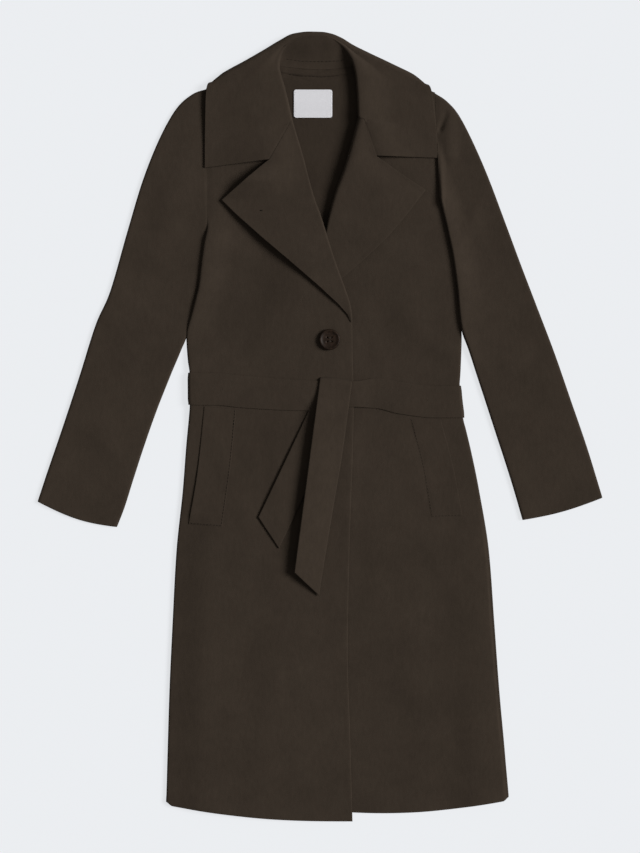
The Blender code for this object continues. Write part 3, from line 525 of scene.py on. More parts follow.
def back_z(x, y, belt_reach=BACK_BELT_REACH):
    """Middle surface of the back, which rises over the belt and over the part of the collar beneath it."""
    off_belt = np.abs(y - belt_line(x)) - BELT_WIDTH / 2 - BELT_EASE
    belt = BELT_RISE * (1 - smooth(0, belt_reach, off_belt))
    collar = COLLAR_RISE * (1 - smooth(*COLLAR_UNDER_REACH, back_top(x) - y))
    return HALF + belt + collar + lines_z(UNDER_CREASES, x, y)


def bulge(reach, distance):
    """Rise of the upper layer beside a folded edge, over where the layers lie on each other."""
    return (2 * FOLD - CLOTH - AIR) * (1 - smooth(FOLD, reach, distance))


def shoulder_line(front, x):
    (x0, y0), (x1, y1) = front["shoulder"]
    return y0 + (y1 - y0) * np.clip((x - x0) / (x1 - x0), 0, 1)


def lap_z(x, y):
    """Rise of the right front where it lies on the left front and on its lapel."""
    lapel = FRONT_LEFT["lapel"]
    edge = np.interp(y, lapel["roll_y"], lapel["roll_x"])
    height = np.interp(y, LAP_RISE_Y, [LAP_RISE, LAPEL_LAP_RISE, LAPEL_LAP_RISE, 0])
    return height * smooth(edge - LAP_RAMP, edge - LAP_EDGE, x)


def side_lift(front, y):
    """Rise of the right front's side where the sleeve lies against it."""
    lift = SIDE_LIFT if front is FRONT_RIGHT else 0.0
    return lift * smooth(*SIDE_LIFT_Y[:2], y) * (1 - smooth(*SIDE_LIFT_Y[2:], y))


def front_z(front, x, y):
    """Middle surface of a front, clear of its folded side."""
    inside = front["facing"] * (x - read(front["rows"], "side_y", "side_x", y))
    above = y - front["underarm"]
    side = bulge(BULGE_REACH, inside) * (1 - smooth(0, BULGE_REACH, above))
    side = side + side_lift(front, y) * (1 - smooth(FOLD, BULGE_REACH, inside))
    shoulder = bulge(SHOULDER_REACH, shoulder_line(front, x) - y)
    rise = np.maximum(side, shoulder) + lines_z(RIDGES, x, y) + lines_z(CREASES, x, y)
    if front is FRONT_RIGHT:
        swell = smooth(0, SWELL_SIDE, inside) * (1 - smooth(SWELL_SIDE, SWELL_REACH, inside))
        rise = rise + lap_z(x, y) + SWELL * swell * smooth(0, SWELL_BELOW_BELT, -y)
    return back_z(x, y, FRONT_BELT_REACH) + CLOTH + AIR + rise


def upper_z(x, y):
    """Middle surface of whichever front lies on top, with a soft step down at the right front's edge."""
    edge = read(FRONT_RIGHT["edge"], "y", "x", y)
    upper = front_z(FRONT_RIGHT, np.minimum(x, edge), y)
    lower = front_z(FRONT_LEFT, np.maximum(x, HIDDEN_EDGE_X), y)
    return upper + (lower - upper) * smooth(edge + EDGE_STEP[0], edge + EDGE_STEP[1], x)


def front_edge_x(front, y):
    """X of a front's inner edge: its front edge, then just inside the lapel's roll, then its neckline."""
    lapel = front["lapel"]
    if y < lapel["roll_y"][0]:
        return float(read(front["edge"], "y", "x", y))
    if y <= lapel["roll_y"][-1]:
        roll = float(read(lapel, "roll_y", "roll_x", y))
        return roll - front["facing"] * (float(read(lapel, "roll_y", "radius", y)) + HALF + SEAM)
    return float(read(front["neck"], "y", "x", y))


def curl_share(front, side_y):
    """1 where a front's side is folded round to the back, and 0 along its armhole."""
    return 1.0 - float(smooth(front["underarm"], front["underarm"] + UNDERARM_REACH, side_y))


# Meshes


def linked(name, data):
    """A new object of the scene."""
    made = bpy.data.objects.new(name, data)
    bpy.context.scene.collection.objects.link(made)
    return made


def add_piece(name, points, faces, look):
    mesh = bpy.data.meshes.new(name)
    mesh.from_pydata((np.asarray(points) * METRES).tolist(), [], faces)
    build = bmesh.new()
    build.from_mesh(mesh)
    bmesh.ops.recalc_face_normals(build, faces=build.faces)
    for face in build.faces:
        face.smooth = True
    build.to_mesh(mesh)
    build.free()
    mesh.materials.append(look)
    return linked(name, mesh)


def with_rims(grid, radius):
    """The grid with more rows close to its first and last row, for a rounded edge."""
    steps = radius * (1 - np.cos(RIM_TURNS[1:]))

    def inwards(edge, inner):
        length = np.linalg.norm(inner - edge, axis=-1, keepdims=True)
        shares = [np.minimum(step / length, RIM_LIMIT * step / radius) for step in steps]
        return [edge + (inner - edge) * share for share in shares]

    head = inwards(grid[0], grid[1])
    tail = inwards(grid[-1], grid[-2])[::-1]
    return np.concatenate([grid[:1], head, grid[1:-1], tail, grid[-1:]])


def rim_share(count):
    """Share of the full thickness in each row, which falls to nothing at both ends."""
    share = np.ones(count)
    share[: len(RIM_TURNS)] = np.sin(RIM_TURNS)
    share[-len(RIM_TURNS) :] = np.sin(RIM_TURNS)[::-1]
    return share


def along(grid, axis):
    """Length along the grid from its first row or column."""
    step = np.linalg.norm(np.diff(grid, axis=axis), axis=2)
    zero = np.zeros_like(np.take(step, [0], axis=axis))
    return np.concatenate([zero, np.cumsum(step, axis=axis)], axis=axis)


def cloth(name, grid, thickness, look, ring=False, turned="", pressed="", sewn=None, relief=None):
    """A closed cloth shell about a grid of middle points, with rounded edges.

    With ring, each row closes on itself. turned names the borders with a turned-in edge: first and last
    row, start and end of the rows. pressed names those that are pressed thin. sewn gives the share by
    which the upper side stays level up to a border, and relief a further rise of the upper side.
    """
    grid = with_rims(np.asarray(grid, float), thickness / 2)
    if not ring:
        grid = with_rims(grid.transpose(1, 0, 2), thickness / 2).transpose(1, 0, 2)
    rows, columns = grid.shape[:2]
    if ring:
        around = np.concatenate([grid[:, -1:], grid, grid[:, :1]], axis=1)
        across = np.gradient(around, axis=1)[:, 1:-1]
        share = np.repeat(rim_share(rows)[:, None], columns, axis=1)
    else:
        across = np.gradient(grid, axis=1)
        share = np.minimum(rim_share(rows)[:, None], rim_share(columns)[None, :])
    normal = np.cross(across, np.gradient(grid, axis=0))
    normal /= np.maximum(np.linalg.norm(normal, axis=2, keepdims=True), 1e-9)
    rise = np.zeros((rows, columns))
    press = np.zeros((rows, columns))
    down, over = along(grid, 0), along(grid, 1)
    borders = {"first": down, "last": down[-1:] - down, "start": over, "end": over[:, -1:] - over}
    for border, distance in borders.items():
        if border in turned.split():
            edge = 1 - smooth(TURN_WIDTH - TURN_SOFT, TURN_WIDTH + TURN_SOFT, distance)
            rise = np.maximum(rise, TURN_RISE * edge)
        if border in pressed.split():
            press = np.maximum(press, PRESS_SHARE * (1 - smooth(0, PRESS_WIDTH, distance)))
    if relief is not None:
        rise = rise + relief(grid, normal)
    half = thickness / 2 * share
    level = np.zeros((rows, columns)) if sewn is None else sewn(grid) * thickness / 2 * (1 - share)
    top = grid + normal * (half * (1 - 2 * press) + rise * share + level)[..., None]
    bottom = grid - normal * (half - level)[..., None]
    number = np.arange(rows * columns).reshape(rows, columns)
    inner = share > 0
    under = number.copy()
    under[inner] = rows * columns + np.arange(inner.sum())
    points = np.concatenate([top.reshape(-1, 3), bottom[inner]])
    points[:, 2] = np.maximum(points[:, 2], 0.0)
    if ring:
        number = np.concatenate([number, number[:, :1]], axis=1)
        under = np.concatenate([under, under[:, :1]], axis=1)
    upper_faces = np.stack([number[:-1, :-1], number[:-1, 1:], number[1:, 1:], number[1:, :-1]], axis=2)
    under_faces = np.stack([under[:-1, :-1], under[1:, :-1], under[1:, 1:], under[:-1, 1:]], axis=2)
    faces = np.concatenate([upper_faces.reshape(-1, 4), under_faces.reshape(-1, 4)])
    return add_piece(name, points, faces.tolist(), look)


def circle(sides):
    """Angles of evenly spaced points round a circle."""
    return np.radians(np.arange(sides) * 360 / sides)


def ring_faces(rings, sides):
    """Faces of a closed tube whose points lie in rings, one after the other."""
    faces = []
    for ring in range(rings - 1):
        for step in range(sides):
            a = ring * sides + step
            b = ring * sides + (step + 1) % sides
            faces.append((a, b, b + sides, a + sides))
    faces.append(tuple(reversed(range(sides))))
    faces.append(tuple(range((rings - 1) * sides, rings * sides)))
    return faces


def tube(path, radius, sides=8):
    """Points and faces of a round thread along a path, with closed ends."""
    path = np.asarray(path, float)
    way = np.gradient(path, axis=0)
    way /= np.linalg.norm(way, axis=1, keepdims=True)
    side = np.cross(way, np.where(np.abs(way[:, 2:]) > 0.9, [[1.0, 0, 0]], [[0, 0, 1.0]]))
    side /= np.linalg.norm(side, axis=1, keepdims=True)
    up = np.cross(side, way)
    turn = circle(sides)
    width = np.full(len(path), radius)
    width[[0, -1]] *= THREAD_END
    ring = side[:, None] * np.cos(turn)[None, :, None] + up[:, None] * np.sin(turn)[None, :, None]
    points = (path[:, None] + ring * width[:, None, None]).reshape(-1, 3)
    return points, ring_faces(len(path), sides)


def threads(name, paths, radius, look):
    """Several threads in one piece."""
    points, faces, count = [], [], 0
    for path in paths:
        more_points, more_faces = tube(path, radius)
        points.append(more_points)
        faces += [tuple(index + count for index in face) for face in more_faces]
        count += len(more_points)
    return add_piece(name, np.concatenate(points), faces, look)


def stitches(path, length, gap):
    """Short stitches along a path, each a little arched and sunk at both ends."""
    path = np.asarray(path, float)
    run = np.concatenate([[0], np.cumsum(np.linalg.norm(np.diff(path, axis=0), axis=1))])
    part = np.linspace(0, 1, 5)
    made = []
    for start in np.arange(gap, run[-1] - length, length + gap):
        place = start + length * part
        points = np.stack([np.interp(place, run, path[:, axis]) for axis in range(3)], axis=1)
        points[:, 2] += STITCH_RISE * np.sin(np.pi * part) - STITCH_RISE / 2
        made.append(points)
    return made


# Pieces

CURL = np.radians([0, 16, 32, 50, 70, 90])
SHOULDER_TURNS = np.radians([90, 62, 36, 0])
BACK_TOP_DROPS = (*np.linspace(84, 32, 18), *np.linspace(31, 3.6, 28))
FRONT_STEPS = np.array([2.5, 5, 8, 12, 16, 20, 25, 30, 35, 40])
SLEEVE_STEPS = np.array([2.5, 5.5, 9.0, 13.0, 17.5, 22.5, 28.0, 34.0])


def front_section(front, side, edge, droop, curled):
    """One section of a front, from its side to its inner edge."""
    (side_x, side_y), (edge_x, edge_y) = side, edge
    side_x -= front["facing"] * ARMHOLE_CLOSE * (1 - curled)
    width = math.hypot(edge_x - side_x, edge_y - side_y)
    curl = HALF * curled + FOLD * (1 - np.cos(CURL))
    near = curl[-1] + FRONT_STEPS
    far = np.linspace(near[-1], width, FRONT_COLUMNS)[1:]
    run = np.concatenate([curl, near, far])
    part = run / width
    x = side_x + (edge_x - side_x) * part
    y = side_y + (edge_y - side_y) * part + droop * np.sin(np.pi * part)
    above_hem = side_y - front["rows"]["side_y"][0]
    corner = HEM_CORNER * (1 - smooth(0, HEM_CORNER_WIDTH, run))
    y = y + corner * (1 - smooth(0, HEM_CORNER_REACH, above_hem))
    z = front_z(front, x, y) + unevenness(x, y, FRONT_WAVES) * smooth(*FRONT_WAVES_START, run)
    count = len(CURL)
    base = back_z(x[:count], y[:count])
    slack = back_z(x[:count], y[:count], FRONT_BELT_REACH) - base
    folded = base + FOLD + (FOLD + slack + side_lift(front, y[:count])) * np.sin(CURL)
    folded[0] += FOLD_SEAM / 2
    z[:count] += curled * (folded - z[:count])
    z -= ARMHOLE_SINK * (1 - curled) * (1 - smooth(0, ARMHOLE_SINK_REACH, run))
    return stacked(x, y, z)


def front_panel(name, front, look):
    rows = front["rows"]
    sections = []
    for side_y in closer(rows["side_y"], FRONT_ROW_STEP):
        side_x, front_y, droop = (
            float(read(rows, "side_y", column, side_y)) for column in ("side_x", "front_y", "droop")
        )
        edge = (front_edge_x(front, front_y), front_y)
        sections.append(front_section(front, (side_x, side_y), edge, droop, curl_share(front, side_y)))
    (x0, y0), (_, y1) = front["shoulder"]
    last_x, last_y, last_front_y = (rows[column][-1] for column in ("side_x", "side_y", "front_y"))
    for part in np.linspace(0, 1, SHOULDER_ROWS)[1:-1]:
        side = (last_x + (x0 - last_x) * part, last_y + (y0 - SHOULDER_CLEAR - last_y) * part)
        front_y = last_front_y + (y1 - SHOULDER_CLEAR - last_front_y) * part
        sections.append(front_section(front, side, (front_edge_x(front, front_y), front_y), 0.0, 0.0))
    for turn in SHOULDER_TURNS:
        drop = FOLD * (1 - math.cos(turn))
        edge = (front_edge_x(front, y1 - drop), y1 - drop)
        section = front_section(front, (x0, y0 - drop), edge, 0.0, 0.0)
        section[:, 2] = back_z(section[:, 0], section[:, 1]) + FOLD * (1 + math.sin(turn))
        if turn == 0:
            section[:, 2] += FOLD_SEAM / 2
        sections.append(section)
    return cloth(name, sections, CLOTH, look, turned="first end")


def lapel_rows(front):
    """The lapel's table with one more row past the break and one past the gorge."""
    facing = front["facing"]
    rows = {column: values[[0, *range(len(values)), -1]] for column, values in front["lapel"].items()}
    slope = (rows["roll_x"][-2] - rows["roll_x"][-3]) / (rows["roll_y"][-2] - rows["roll_y"][-3])
    for column, at_break, at_gorge in (
        ("roll_y", -9.0, PAST_GORGE),
        ("tip_y", -10.0, PAST_GORGE),
        ("radius", -1.0, -0.5),
        ("tip_z", -1.9, -1.8),
        ("roll_x", 0.3 * facing, PAST_GORGE * slope),
        ("tip_x", 3.9 * facing, PAST_GORGE * slope),
    ):
        rows[column][0] += at_break
        rows[column][-1] += at_gorge
    return rows


def lapel(name, front, look):
    """The turned-back part of a front, from the roll to its free edge."""
    facing, press = front["facing"], front["roll_press"]
    rows = lapel_rows(front)
    bend = np.radians([0, 10, 24, 40, 57, 74, 90, 106, 123, 140, 156, 170, 180])
    bend_fall = np.sign(np.cos(bend)) * np.abs(np.cos(bend)) ** press
    reach = np.linspace(0, 1, LAPEL_COLUMNS)[1:]
    sections = []
    for roll_y in closer(rows["roll_y"], LAPEL_ROW_STEP):
        roll_x = float(read(rows, "roll_y", "roll_x", roll_y))
        tip_y, tip_x, tip_z, radius = (
            float(np.interp(roll_y, rows["roll_y"], rows[column]))
            for column in ("tip_y", "tip_x", "tip_z", "radius")
        )
        start = roll_x - facing * (radius + HALF)
        base = front_z(front, np.array(start), np.array(roll_y))
        bend_x = start + facing * radius * np.sin(bend) ** press
        bend_z = base + radius * (1 - bend_fall)
        arm_x = start + (tip_x - start) * reach
        arm_y = roll_y + (tip_y - roll_y) * reach
        crown = LAPEL_CROWN * smooth(*LAPEL_CROWN_WIDTH, abs(tip_x - start))
        arm_z = bend_z[-1] + (tip_z - bend_z[-1]) * smooth(0, 1, reach) + crown * np.sin(np.pi * reach)
        wave = unevenness(arm_x, arm_y, LAPEL_WAVES) * np.sin(np.pi * reach)
        x = np.concatenate([bend_x, arm_x])
        y = np.concatenate([np.full(bend.shape, roll_y), arm_y])
        sections.append(stacked(x, y, np.concatenate([bend_z, arm_z + wave])))

    def gorge(grid):
        share = np.zeros(grid.shape[:2])
        share[:, -len(RIM_TURNS) - 1 :] = SEWN_LEVEL
        return share * smooth(*GORGE_LEVEL, grid[..., 1])

    return cloth(name, sections, CLOTH, look, turned="end", sewn=gorge)


def seam_band(off):
    """Rise of a felled seam at a distance from its line: the flat allowance and the stitch line beside it."""
    ridge = FELL * (1 - smooth(*FELL_EDGE, off)) * smooth(*FELL_START, off)
    return ridge - FELL * np.exp(-(((off - FELL_STITCH) / FELL_STITCH_WIDTH) ** 2))


def between(ends, x):
    """1 in the middle, and 0 past both ends."""
    end, full = ends
    return smooth(end, full, x) * smooth(-end, -full, x)


def back_panel(name, look):
    inner = np.linspace(0, 1, BACK_COLUMNS)[1:-1]
    sections = []
    numbers = np.arange(len(FRONT_RIGHT["rows"]["side_y"]))
    for index in closer(np.arange(BACK_TABLE_ROWS), BACK_ROW_STEP):
        ends = []
        for front in (FRONT_RIGHT, FRONT_LEFT):
            rows = front["rows"]
            side_y = float(np.interp(index, numbers, rows["side_y"]))
            side_x = float(read(rows, "side_y", "side_x", side_y))
            curled = curl_share(front, side_y)
            run = HALF * curled + FOLD * (1 - np.cos(CURL))
            x = side_x + front["facing"] * run
            y = np.full(x.shape, side_y) + BACK_HEM_SHORT * (1 - smooth(0, 1, index))
            z = back_z(x, y)
            folded = z + FOLD - FOLD * np.sin(CURL)
            folded[0] -= FOLD_SEAM / 2
            ends.append(stacked(x, y, z + curled * (folded - z)))
        first, second = ends[0], ends[1][::-1]
        x = first[-1, 0] + (second[0, 0] - first[-1, 0]) * inner
        y = first[-1, 1] + (second[0, 1] - first[-1, 1]) * inner
        y = y - BACK_HEM_DROOP * (1 - smooth(0, 2, index)) * np.sin(np.pi * inner)
        sections.append(np.concatenate([first, stacked(x, y, back_z(x, y)), second]))
    last_x = sections[-1][:, 0]
    right_x, left_x = FRONT_RIGHT["shoulder"][0][0], FRONT_LEFT["shoulder"][0][0]
    top_x = right_x + (left_x - right_x) * (last_x - last_x[0]) / (last_x[-1] - last_x[0])
    on_shoulder = smooth(*SHOULDER_START_RIGHT, -top_x) + smooth(*SHOULDER_START_LEFT, top_x)
    seam = [(FOLD * (1 - math.cos(turn)), turn) for turn in SHOULDER_TURNS]
    flat = [(drop, None) for drop in BACK_TOP_DROPS]
    for drop, turn in [*flat, *seam]:
        y = back_top(top_x) - drop
        z = back_z(top_x, y)
        if turn is not None:
            z = z + on_shoulder * (FOLD * (1 - math.sin(turn)) - FOLD_SEAM / 2 * math.cos(turn))
        placed = top_x.copy()
        placed[-1] += LEFT_ARMHOLE_SLOPE * drop
        sections.append(stacked(placed, y, z))

    def neck_seam(grid, normal):
        x, y = grid[..., 0], grid[..., 1]
        below = back_top(x) - y + unevenness(x, y, BACK_SEAM_WAVES)
        return seam_band(below) * between(BACK_SEAM_ENDS, x) + lines_z(NECK_PUCKERS, x, y)

    return cloth(name, sections, CLOTH, look, turned="first", relief=neck_seam)


def sleeve(name, rows, towards, lift, look):
    """A flattened tube with rounded edges, whose upper layer sinks onto the lower one between them.

    towards is the way to the body, and lift raises the inner fold where it lies against the body.
    """
    turn = np.radians(np.linspace(-90, 90, 11))
    rows = finer(rows, SLEEVE_PARTS)
    sewn = ARMHOLE_CLOSE * (1 - smooth(0, SLEEVE_SEWN_ROWS, np.arange(len(rows["bow"]))))
    closed = np.maximum(sewn, SLEEVE_CLOSE * smooth(*SLEEVE_CLOSE_Y, rows["inner_y"]))
    rows["outer_x"] = rows["outer_x"] + towards * sewn
    rows["inner_x"] = rows["inner_x"] + towards * closed
    sections = []
    for index, row in enumerate(zip(*rows.values())):
        outer_x, outer_y, inner_x, inner_y, bow = row
        width = math.hypot(inner_x - outer_x, inner_y - outer_y)
        outer = HALF + SLEEVE_FOLD_WIDTH * (1 - np.cos(turn))
        inner = width - HALF - SLEEVE_FOLD_WIDTH * (1 - np.cos(turn[::-1]))
        centre = np.linspace(outer[-1] + SLEEVE_STEPS[-1], inner[0] - SLEEVE_STEPS[-1], 26)[1:-1]
        top = np.concatenate([outer[-1] + SLEEVE_STEPS, centre, inner[0] - SLEEVE_STEPS[::-1]])
        low, full, last, end = SLEEVE_LIFT_Y
        raised = lift * float(smooth(low, full, inner_y) * (1 - smooth(last, end, inner_y)))
        from_inner = width - HALF - top
        lifted = raised * (1 - smooth(FOLD, SLEEVE_LIFT_REACH, from_inner))
        top_rise = np.maximum(bulge(BULGE_REACH, top - HALF), bulge(BULGE_REACH, from_inner) + lifted)
        bottom = np.linspace(inner[-1], outer[0], 24)[1:-1]
        part = np.concatenate([outer, top, inner, bottom]) / width
        x = outer_x + (inner_x - outer_x) * part
        y = outer_y + (inner_y - outer_y) * part - bow * np.sin(np.pi * part)
        over = slice(len(turn), len(turn) + len(top))
        crease = lines_z(SLEEVE_CREASES, x, y) + unevenness(x, y, SLEEVE_WAVES)
        under = lines_z(UNDER_CREASES, x, y) * np.clip(np.sin(np.pi * part), 0, None)
        crease = crease * np.sin(np.pi * part) + under
        head_lift = SLEEVE_HEAD_LIFT * lift * (1 - smooth(0, SLEEVE_HEAD_ROWS, index))
        head_lift = head_lift * smooth(*SLEEVE_HEAD_PART, part[over])
        sink = ARMHOLE_SINK * (1 - smooth(0, SLEEVE_SINK_ROWS, index)) - head_lift
        outer_z = FOLD * (1 + np.sin(turn))
        top_z = CLOTH + AIR + top_rise + crease[over] - sink
        inner_z = (FOLD + raised / 2) * (1 + np.sin(turn[::-1]))
        z = HALF + np.concatenate([outer_z, top_z, inner_z, under[-len(bottom) :]])
        sections.append(stacked(x, y, z))
    return cloth(name, sections, CLOTH, look, ring=True)


def collar_section(row):
    """One section of the collar, from its neck seam over the roll to the free edge or round the fold."""
    low_x, low_y, low_on_back, inner_x, inner_y, roll = row[:6]
    outer_x, outer_y, edge_z, under_x, under_y, folded = row[6:]
    rise = np.linspace(0, 1, 41)[:-1]
    over = np.radians([0, 22, 45, 67, 90])
    leaf = np.linspace(0, 1, 26)[1:-1]
    fold = np.radians(np.linspace(0, 180, 11))
    under_parts = np.linspace(0, 1, 9)[1:]
    low = np.array([low_x, low_y - NECK_LAP * low_on_back])
    inner = np.array([inner_x, inner_y])
    outer = np.array([outer_x, outer_y])
    under = np.array([under_x, under_y])
    out = (outer - inner) / np.linalg.norm(outer - inner)
    radius = LEAF_ROLL * roll + SHARP_ROLL * (1 - roll)
    crest = float(np.interp(inner_x, *ROLL_CREST[np.searchsorted(CREST_LEVELS, inner_y)]))
    if np.allclose(low, inner):
        steps = np.linspace(-GORGE_LAP, GORGE_RUN, len(rise) + len(over))
        plan = [inner + out * step for step in steps]
        height = list(LEAF_Z + crest - GORGE_SINK * (1 - smooth(-GORGE_LAP, GORGE_SINK_END, steps)))
    else:
        front = FRONT_RIGHT if low_x < 0 else FRONT_LEFT
        on_front = float(front_z(front, np.array(low_x), np.array(low_y)))
        on_back = float(back_z(np.array(low_x), np.array(low_y)))
        low_z = on_front + (on_back - on_front) * low_on_back
        moved = roll * np.sin(rise * np.pi / 2) + (1 - roll) * rise
        raised = roll * (1 - np.cos(rise * np.pi / 2)) + (1 - roll) * smooth(0, 1, rise)
        plan = [low + (inner - low) * part for part in moved]
        roll_z = LEAF_Z + crest - radius
        height = list(low_z + (roll_z - low_z) * raised)
        plan += [inner + out * radius * (1 - math.cos(turn)) for turn in over]
        height += [roll_z + radius * math.sin(turn) for turn in over]
    start = plan[-1]
    fold_radius = (edge_z - HALF - UNDER_CLEAR) / 2
    way_in = (outer - under) / max(np.linalg.norm(outer - under), 1e-6)
    middle_way = out + way_in
    middle_way /= max(np.linalg.norm(middle_way), 1e-6)
    heel = outer - middle_way * (fold_radius + HALF)
    past_leaf = np.linspace(LEAF_END, 1.0, len(fold) + len(under_parts))
    free_part = np.concatenate([leaf * LEAF_END, past_leaf])
    free_end = [start + (outer - start) * part for part in free_part]
    free_z = LEAF_Z + (edge_z - LEAF_Z) * smooth(0, LEAF_FALL, free_part)
    free_z = free_z + crest * (1 - smooth(0, CREST_REACH, free_part))
    turned = [start + (heel - start) * part for part in leaf]
    turned += [heel + middle_way * fold_radius * math.sin(turn) for turn in fold]
    turned += [heel + (under - heel) * part for part in under_parts]
    leaf_z = LEAF_Z + (edge_z - LEAF_Z) * leaf + crest * (1 - smooth(0, CREST_REACH, leaf))
    fold_z = edge_z - fold_radius * (1 - np.cos(fold))
    turned_z = np.concatenate([leaf_z, fold_z, np.full(len(under_parts), edge_z - 2 * fold_radius)])
    plan += list(np.array(free_end) * (1 - folded) + np.array(turned) * folded)
    height += list(free_z * (1 - folded) + turned_z * folded)
    return np.column_stack([np.array(plan), height])


def collar(name, look):
    """Stand, roll, leaf and the part folded beneath, in one sheet."""
    sections = np.array([collar_section(row) for row in zip(*COLLAR.values())])
    last = len(sections) - 1
    gorge = 2
    grid = [sections[:1]]
    for start, end in ((0, gorge), (gorge, last - gorge), (last - gorge, last)):
        places = np.linspace(start, end, (end - start) * COLLAR_PARTS + 1)[1:]
        run = sections[start : end + 1].reshape(end - start + 1, -1)
        grid.append(eased(np.arange(start, end + 1), run, places).reshape(len(places), -1, 3))

    def low_edge(grid):
        share = np.zeros(grid.shape[:2])
        share[:, : len(RIM_TURNS) + 1] = SEWN_LEVEL
        return share

    def stand_seam(grid, normal):
        x, y = grid[..., 0], grid[..., 1]
        above = y - back_top(x) + unevenness(x, y, STAND_SEAM_WAVES)
        upper = (normal[..., 2] > STAND_FACING) * (grid[..., 2] > STAND_ABOVE)
        return (seam_band(above) * between(STAND_SEAM_ENDS, x) + lines_z(NECK_PUCKERS, x, y)) * upper

    edges = {"turned": "first last", "pressed": "first last end"}
    return cloth(name, np.concatenate(grid), CLOTH, look, **edges, sewn=low_edge, relief=stand_seam)


def welt(name, front, rows, lift, set_in, look):
    """A pocket welt sewn flat on a front, a little lifted along the lower half of its opening.

    set_in is how far its sewn edge sinks into the front's seam.
    """
    sections = []
    across = np.linspace(0, 1, 24)
    fine = finer(rows, WELT_PARTS)
    down = np.linspace(0, 1, len(fine["open_x"]))
    opened = lift * smooth(0, 0.75, down) * (1 - smooth(0.88, 1.0, down))
    for index, (open_x, open_y, sewn_x, sewn_y) in enumerate(zip(*fine.values())):
        x = open_x + (sewn_x - open_x) * across
        y = open_y + (sewn_y - open_y) * across
        z = front_z(front, x, y) + HALF + WELT / 2 - WELT_BED - set_in * across
        sections.append(stacked(x, y, z + opened[index] * (1 - across) ** 3))
    return cloth(name, sections, WELT, look, pressed="first last end")


def belt(name, look):
    """The belt from the knot round the back to the knot again."""
    across = np.linspace(-0.5, 0.5, 15)
    turn = np.radians(np.linspace(90, -90, 13))
    rest = HALF + BELT_REST + BELT / 2
    sections = []

    def on_front(rows, places):
        for x in places:
            y = read(rows, "x", "y", x) + across * read(rows, "x", "width", x)
            level = np.full(len(across), x)
            sections.append(stacked(level, y, upper_z(level, y) + rest))

    def round_side(front, turns, middle_y):
        y = middle_y + across * BELT_WIDTH
        side = read(front["rows"], "side_y", "side_x", y) + front["facing"] * (HALF + FOLD)
        centre = back_z(side, y) + FOLD
        for angle in turns:
            x = side - front["facing"] * (FOLD + rest) * math.cos(angle)
            z = np.maximum(centre + (FOLD + rest) * math.sin(angle), BELT / 2)
            sections.append(stacked(x, y, z))

    on_front(BELT_FRONT_RIGHT, np.linspace(*BELT_RIGHT_RUN))
    round_side(FRONT_RIGHT, turn, BELT_BACK_Y[0])
    for x in np.linspace(*BELT_BACK_RUN):
        y = belt_line(x) + across * BELT_WIDTH
        sections.append(stacked(np.full(len(across), x), y, np.full(len(across), BELT / 2)))
    round_side(FRONT_LEFT, turn[::-1], BELT_BACK_Y[1])
    on_front(BELT_FRONT_LEFT, np.linspace(*BELT_LEFT_RUN))
    return cloth(name, sections, BELT, look, pressed="start end")


def tie(name, rows, cut, hook, narrowed, look):
    """A falling belt end with a slanted cut and one edge lifted.

    With hook it starts over the belt, and narrowed is the share of its width that is lost towards its cut.
    """
    rows = finer(rows, TIE_PARTS)
    across = np.linspace(-0.5, 0.5, 17)
    count = len(rows["x"])
    way = np.stack([np.gradient(rows["x"]), np.gradient(rows["y"])], axis=1)
    way /= np.linalg.norm(way, axis=1, keepdims=True)
    sections = []
    for index in range(count):
        place = np.array([rows["x"][index], rows["y"][index]])
        aside = np.array([-way[index, 1], way[index, 0]])
        end_share = index / (count - 1)
        slide = cut * (across + 0.5) * smooth(*TIE_CUT_PART, end_share)
        reach = (across + 0.5) * (1 - narrowed * smooth(*TIE_NARROW_PART, end_share)) - 0.5
        plan = place + np.outer(reach * BELT_WIDTH, aside) + np.outer(slide, way[index])
        x, y = plan.T
        z = upper_z(x, y) + HALF + BELT / 2 + rows["clear"][index] + rows["lift"][index] * (0.5 - across)
        sections.append(np.column_stack([plan, z]))
    if hook:
        first = sections[0]
        top = first[:, 2].max()
        first[:, 2] = top
        bow = 1 - 4 * across**2
        for turn in np.radians([70, 50, 32, 16, 0]):
            curved = first.copy()
            curved[:, :2] -= way[0] * (hook + TIE_BOW * bow)[:, None] * math.cos(turn)
            curved[:, 2] = top - hook * (1 - math.sin(turn))
            sections.insert(0, curved)
    return cloth(name, sections, BELT, look, turned="last start end")


def top_at(piece, plan, reach=4.0, depth=CLOTH / 2):
    """Height of a piece's upper side at some places, from its points within reach and depth there."""
    points = np.array([vertex.co for vertex in piece.data.vertices]) / METRES
    heights = []
    for x, y in plan:
        off = np.hypot(points[:, 0] - x, points[:, 1] - y)
        near = points[off < reach]
        upper = near[near[:, 2] > near[:, 2].max() - depth]
        weight = 1 / (np.hypot(upper[:, 0] - x, upper[:, 1] - y) + 0.3) ** 2
        heights.append((upper[:, 2] * weight).sum() / weight.sum())
    return np.array(heights)


def welt_stitches_and_painted_shade(name, piece, front_piece, rows, radius, look):
    """Stitches beside the sewn long edge and the lower end of a welt, on whichever cloth is on top there.
    Their dark thread also paints the shade of the groove along the sewn edge.
    """
    fine = finer(rows, WELT_PARTS)
    opened = np.stack([fine["open_x"], fine["open_y"]], axis=1)
    sewn = np.stack([fine["sewn_x"], fine["sewn_y"]], axis=1)
    inset = WELT_STITCH_INSET / np.linalg.norm(opened - sewn, axis=1, keepdims=True)
    long_edge = sewn + (opened - sewn) * inset
    lower_end = np.linspace(sewn[-2:].mean(axis=0), opened[-2:].mean(axis=0), 24)
    paths = []
    for plan in (long_edge, lower_end):
        height = np.maximum(top_at(piece, plan, depth=WELT / 4), top_at(front_piece, plan))
        paths += stitches(np.column_stack([plan, height]), *WELT_STITCH)
    return threads(name, paths, radius, look)


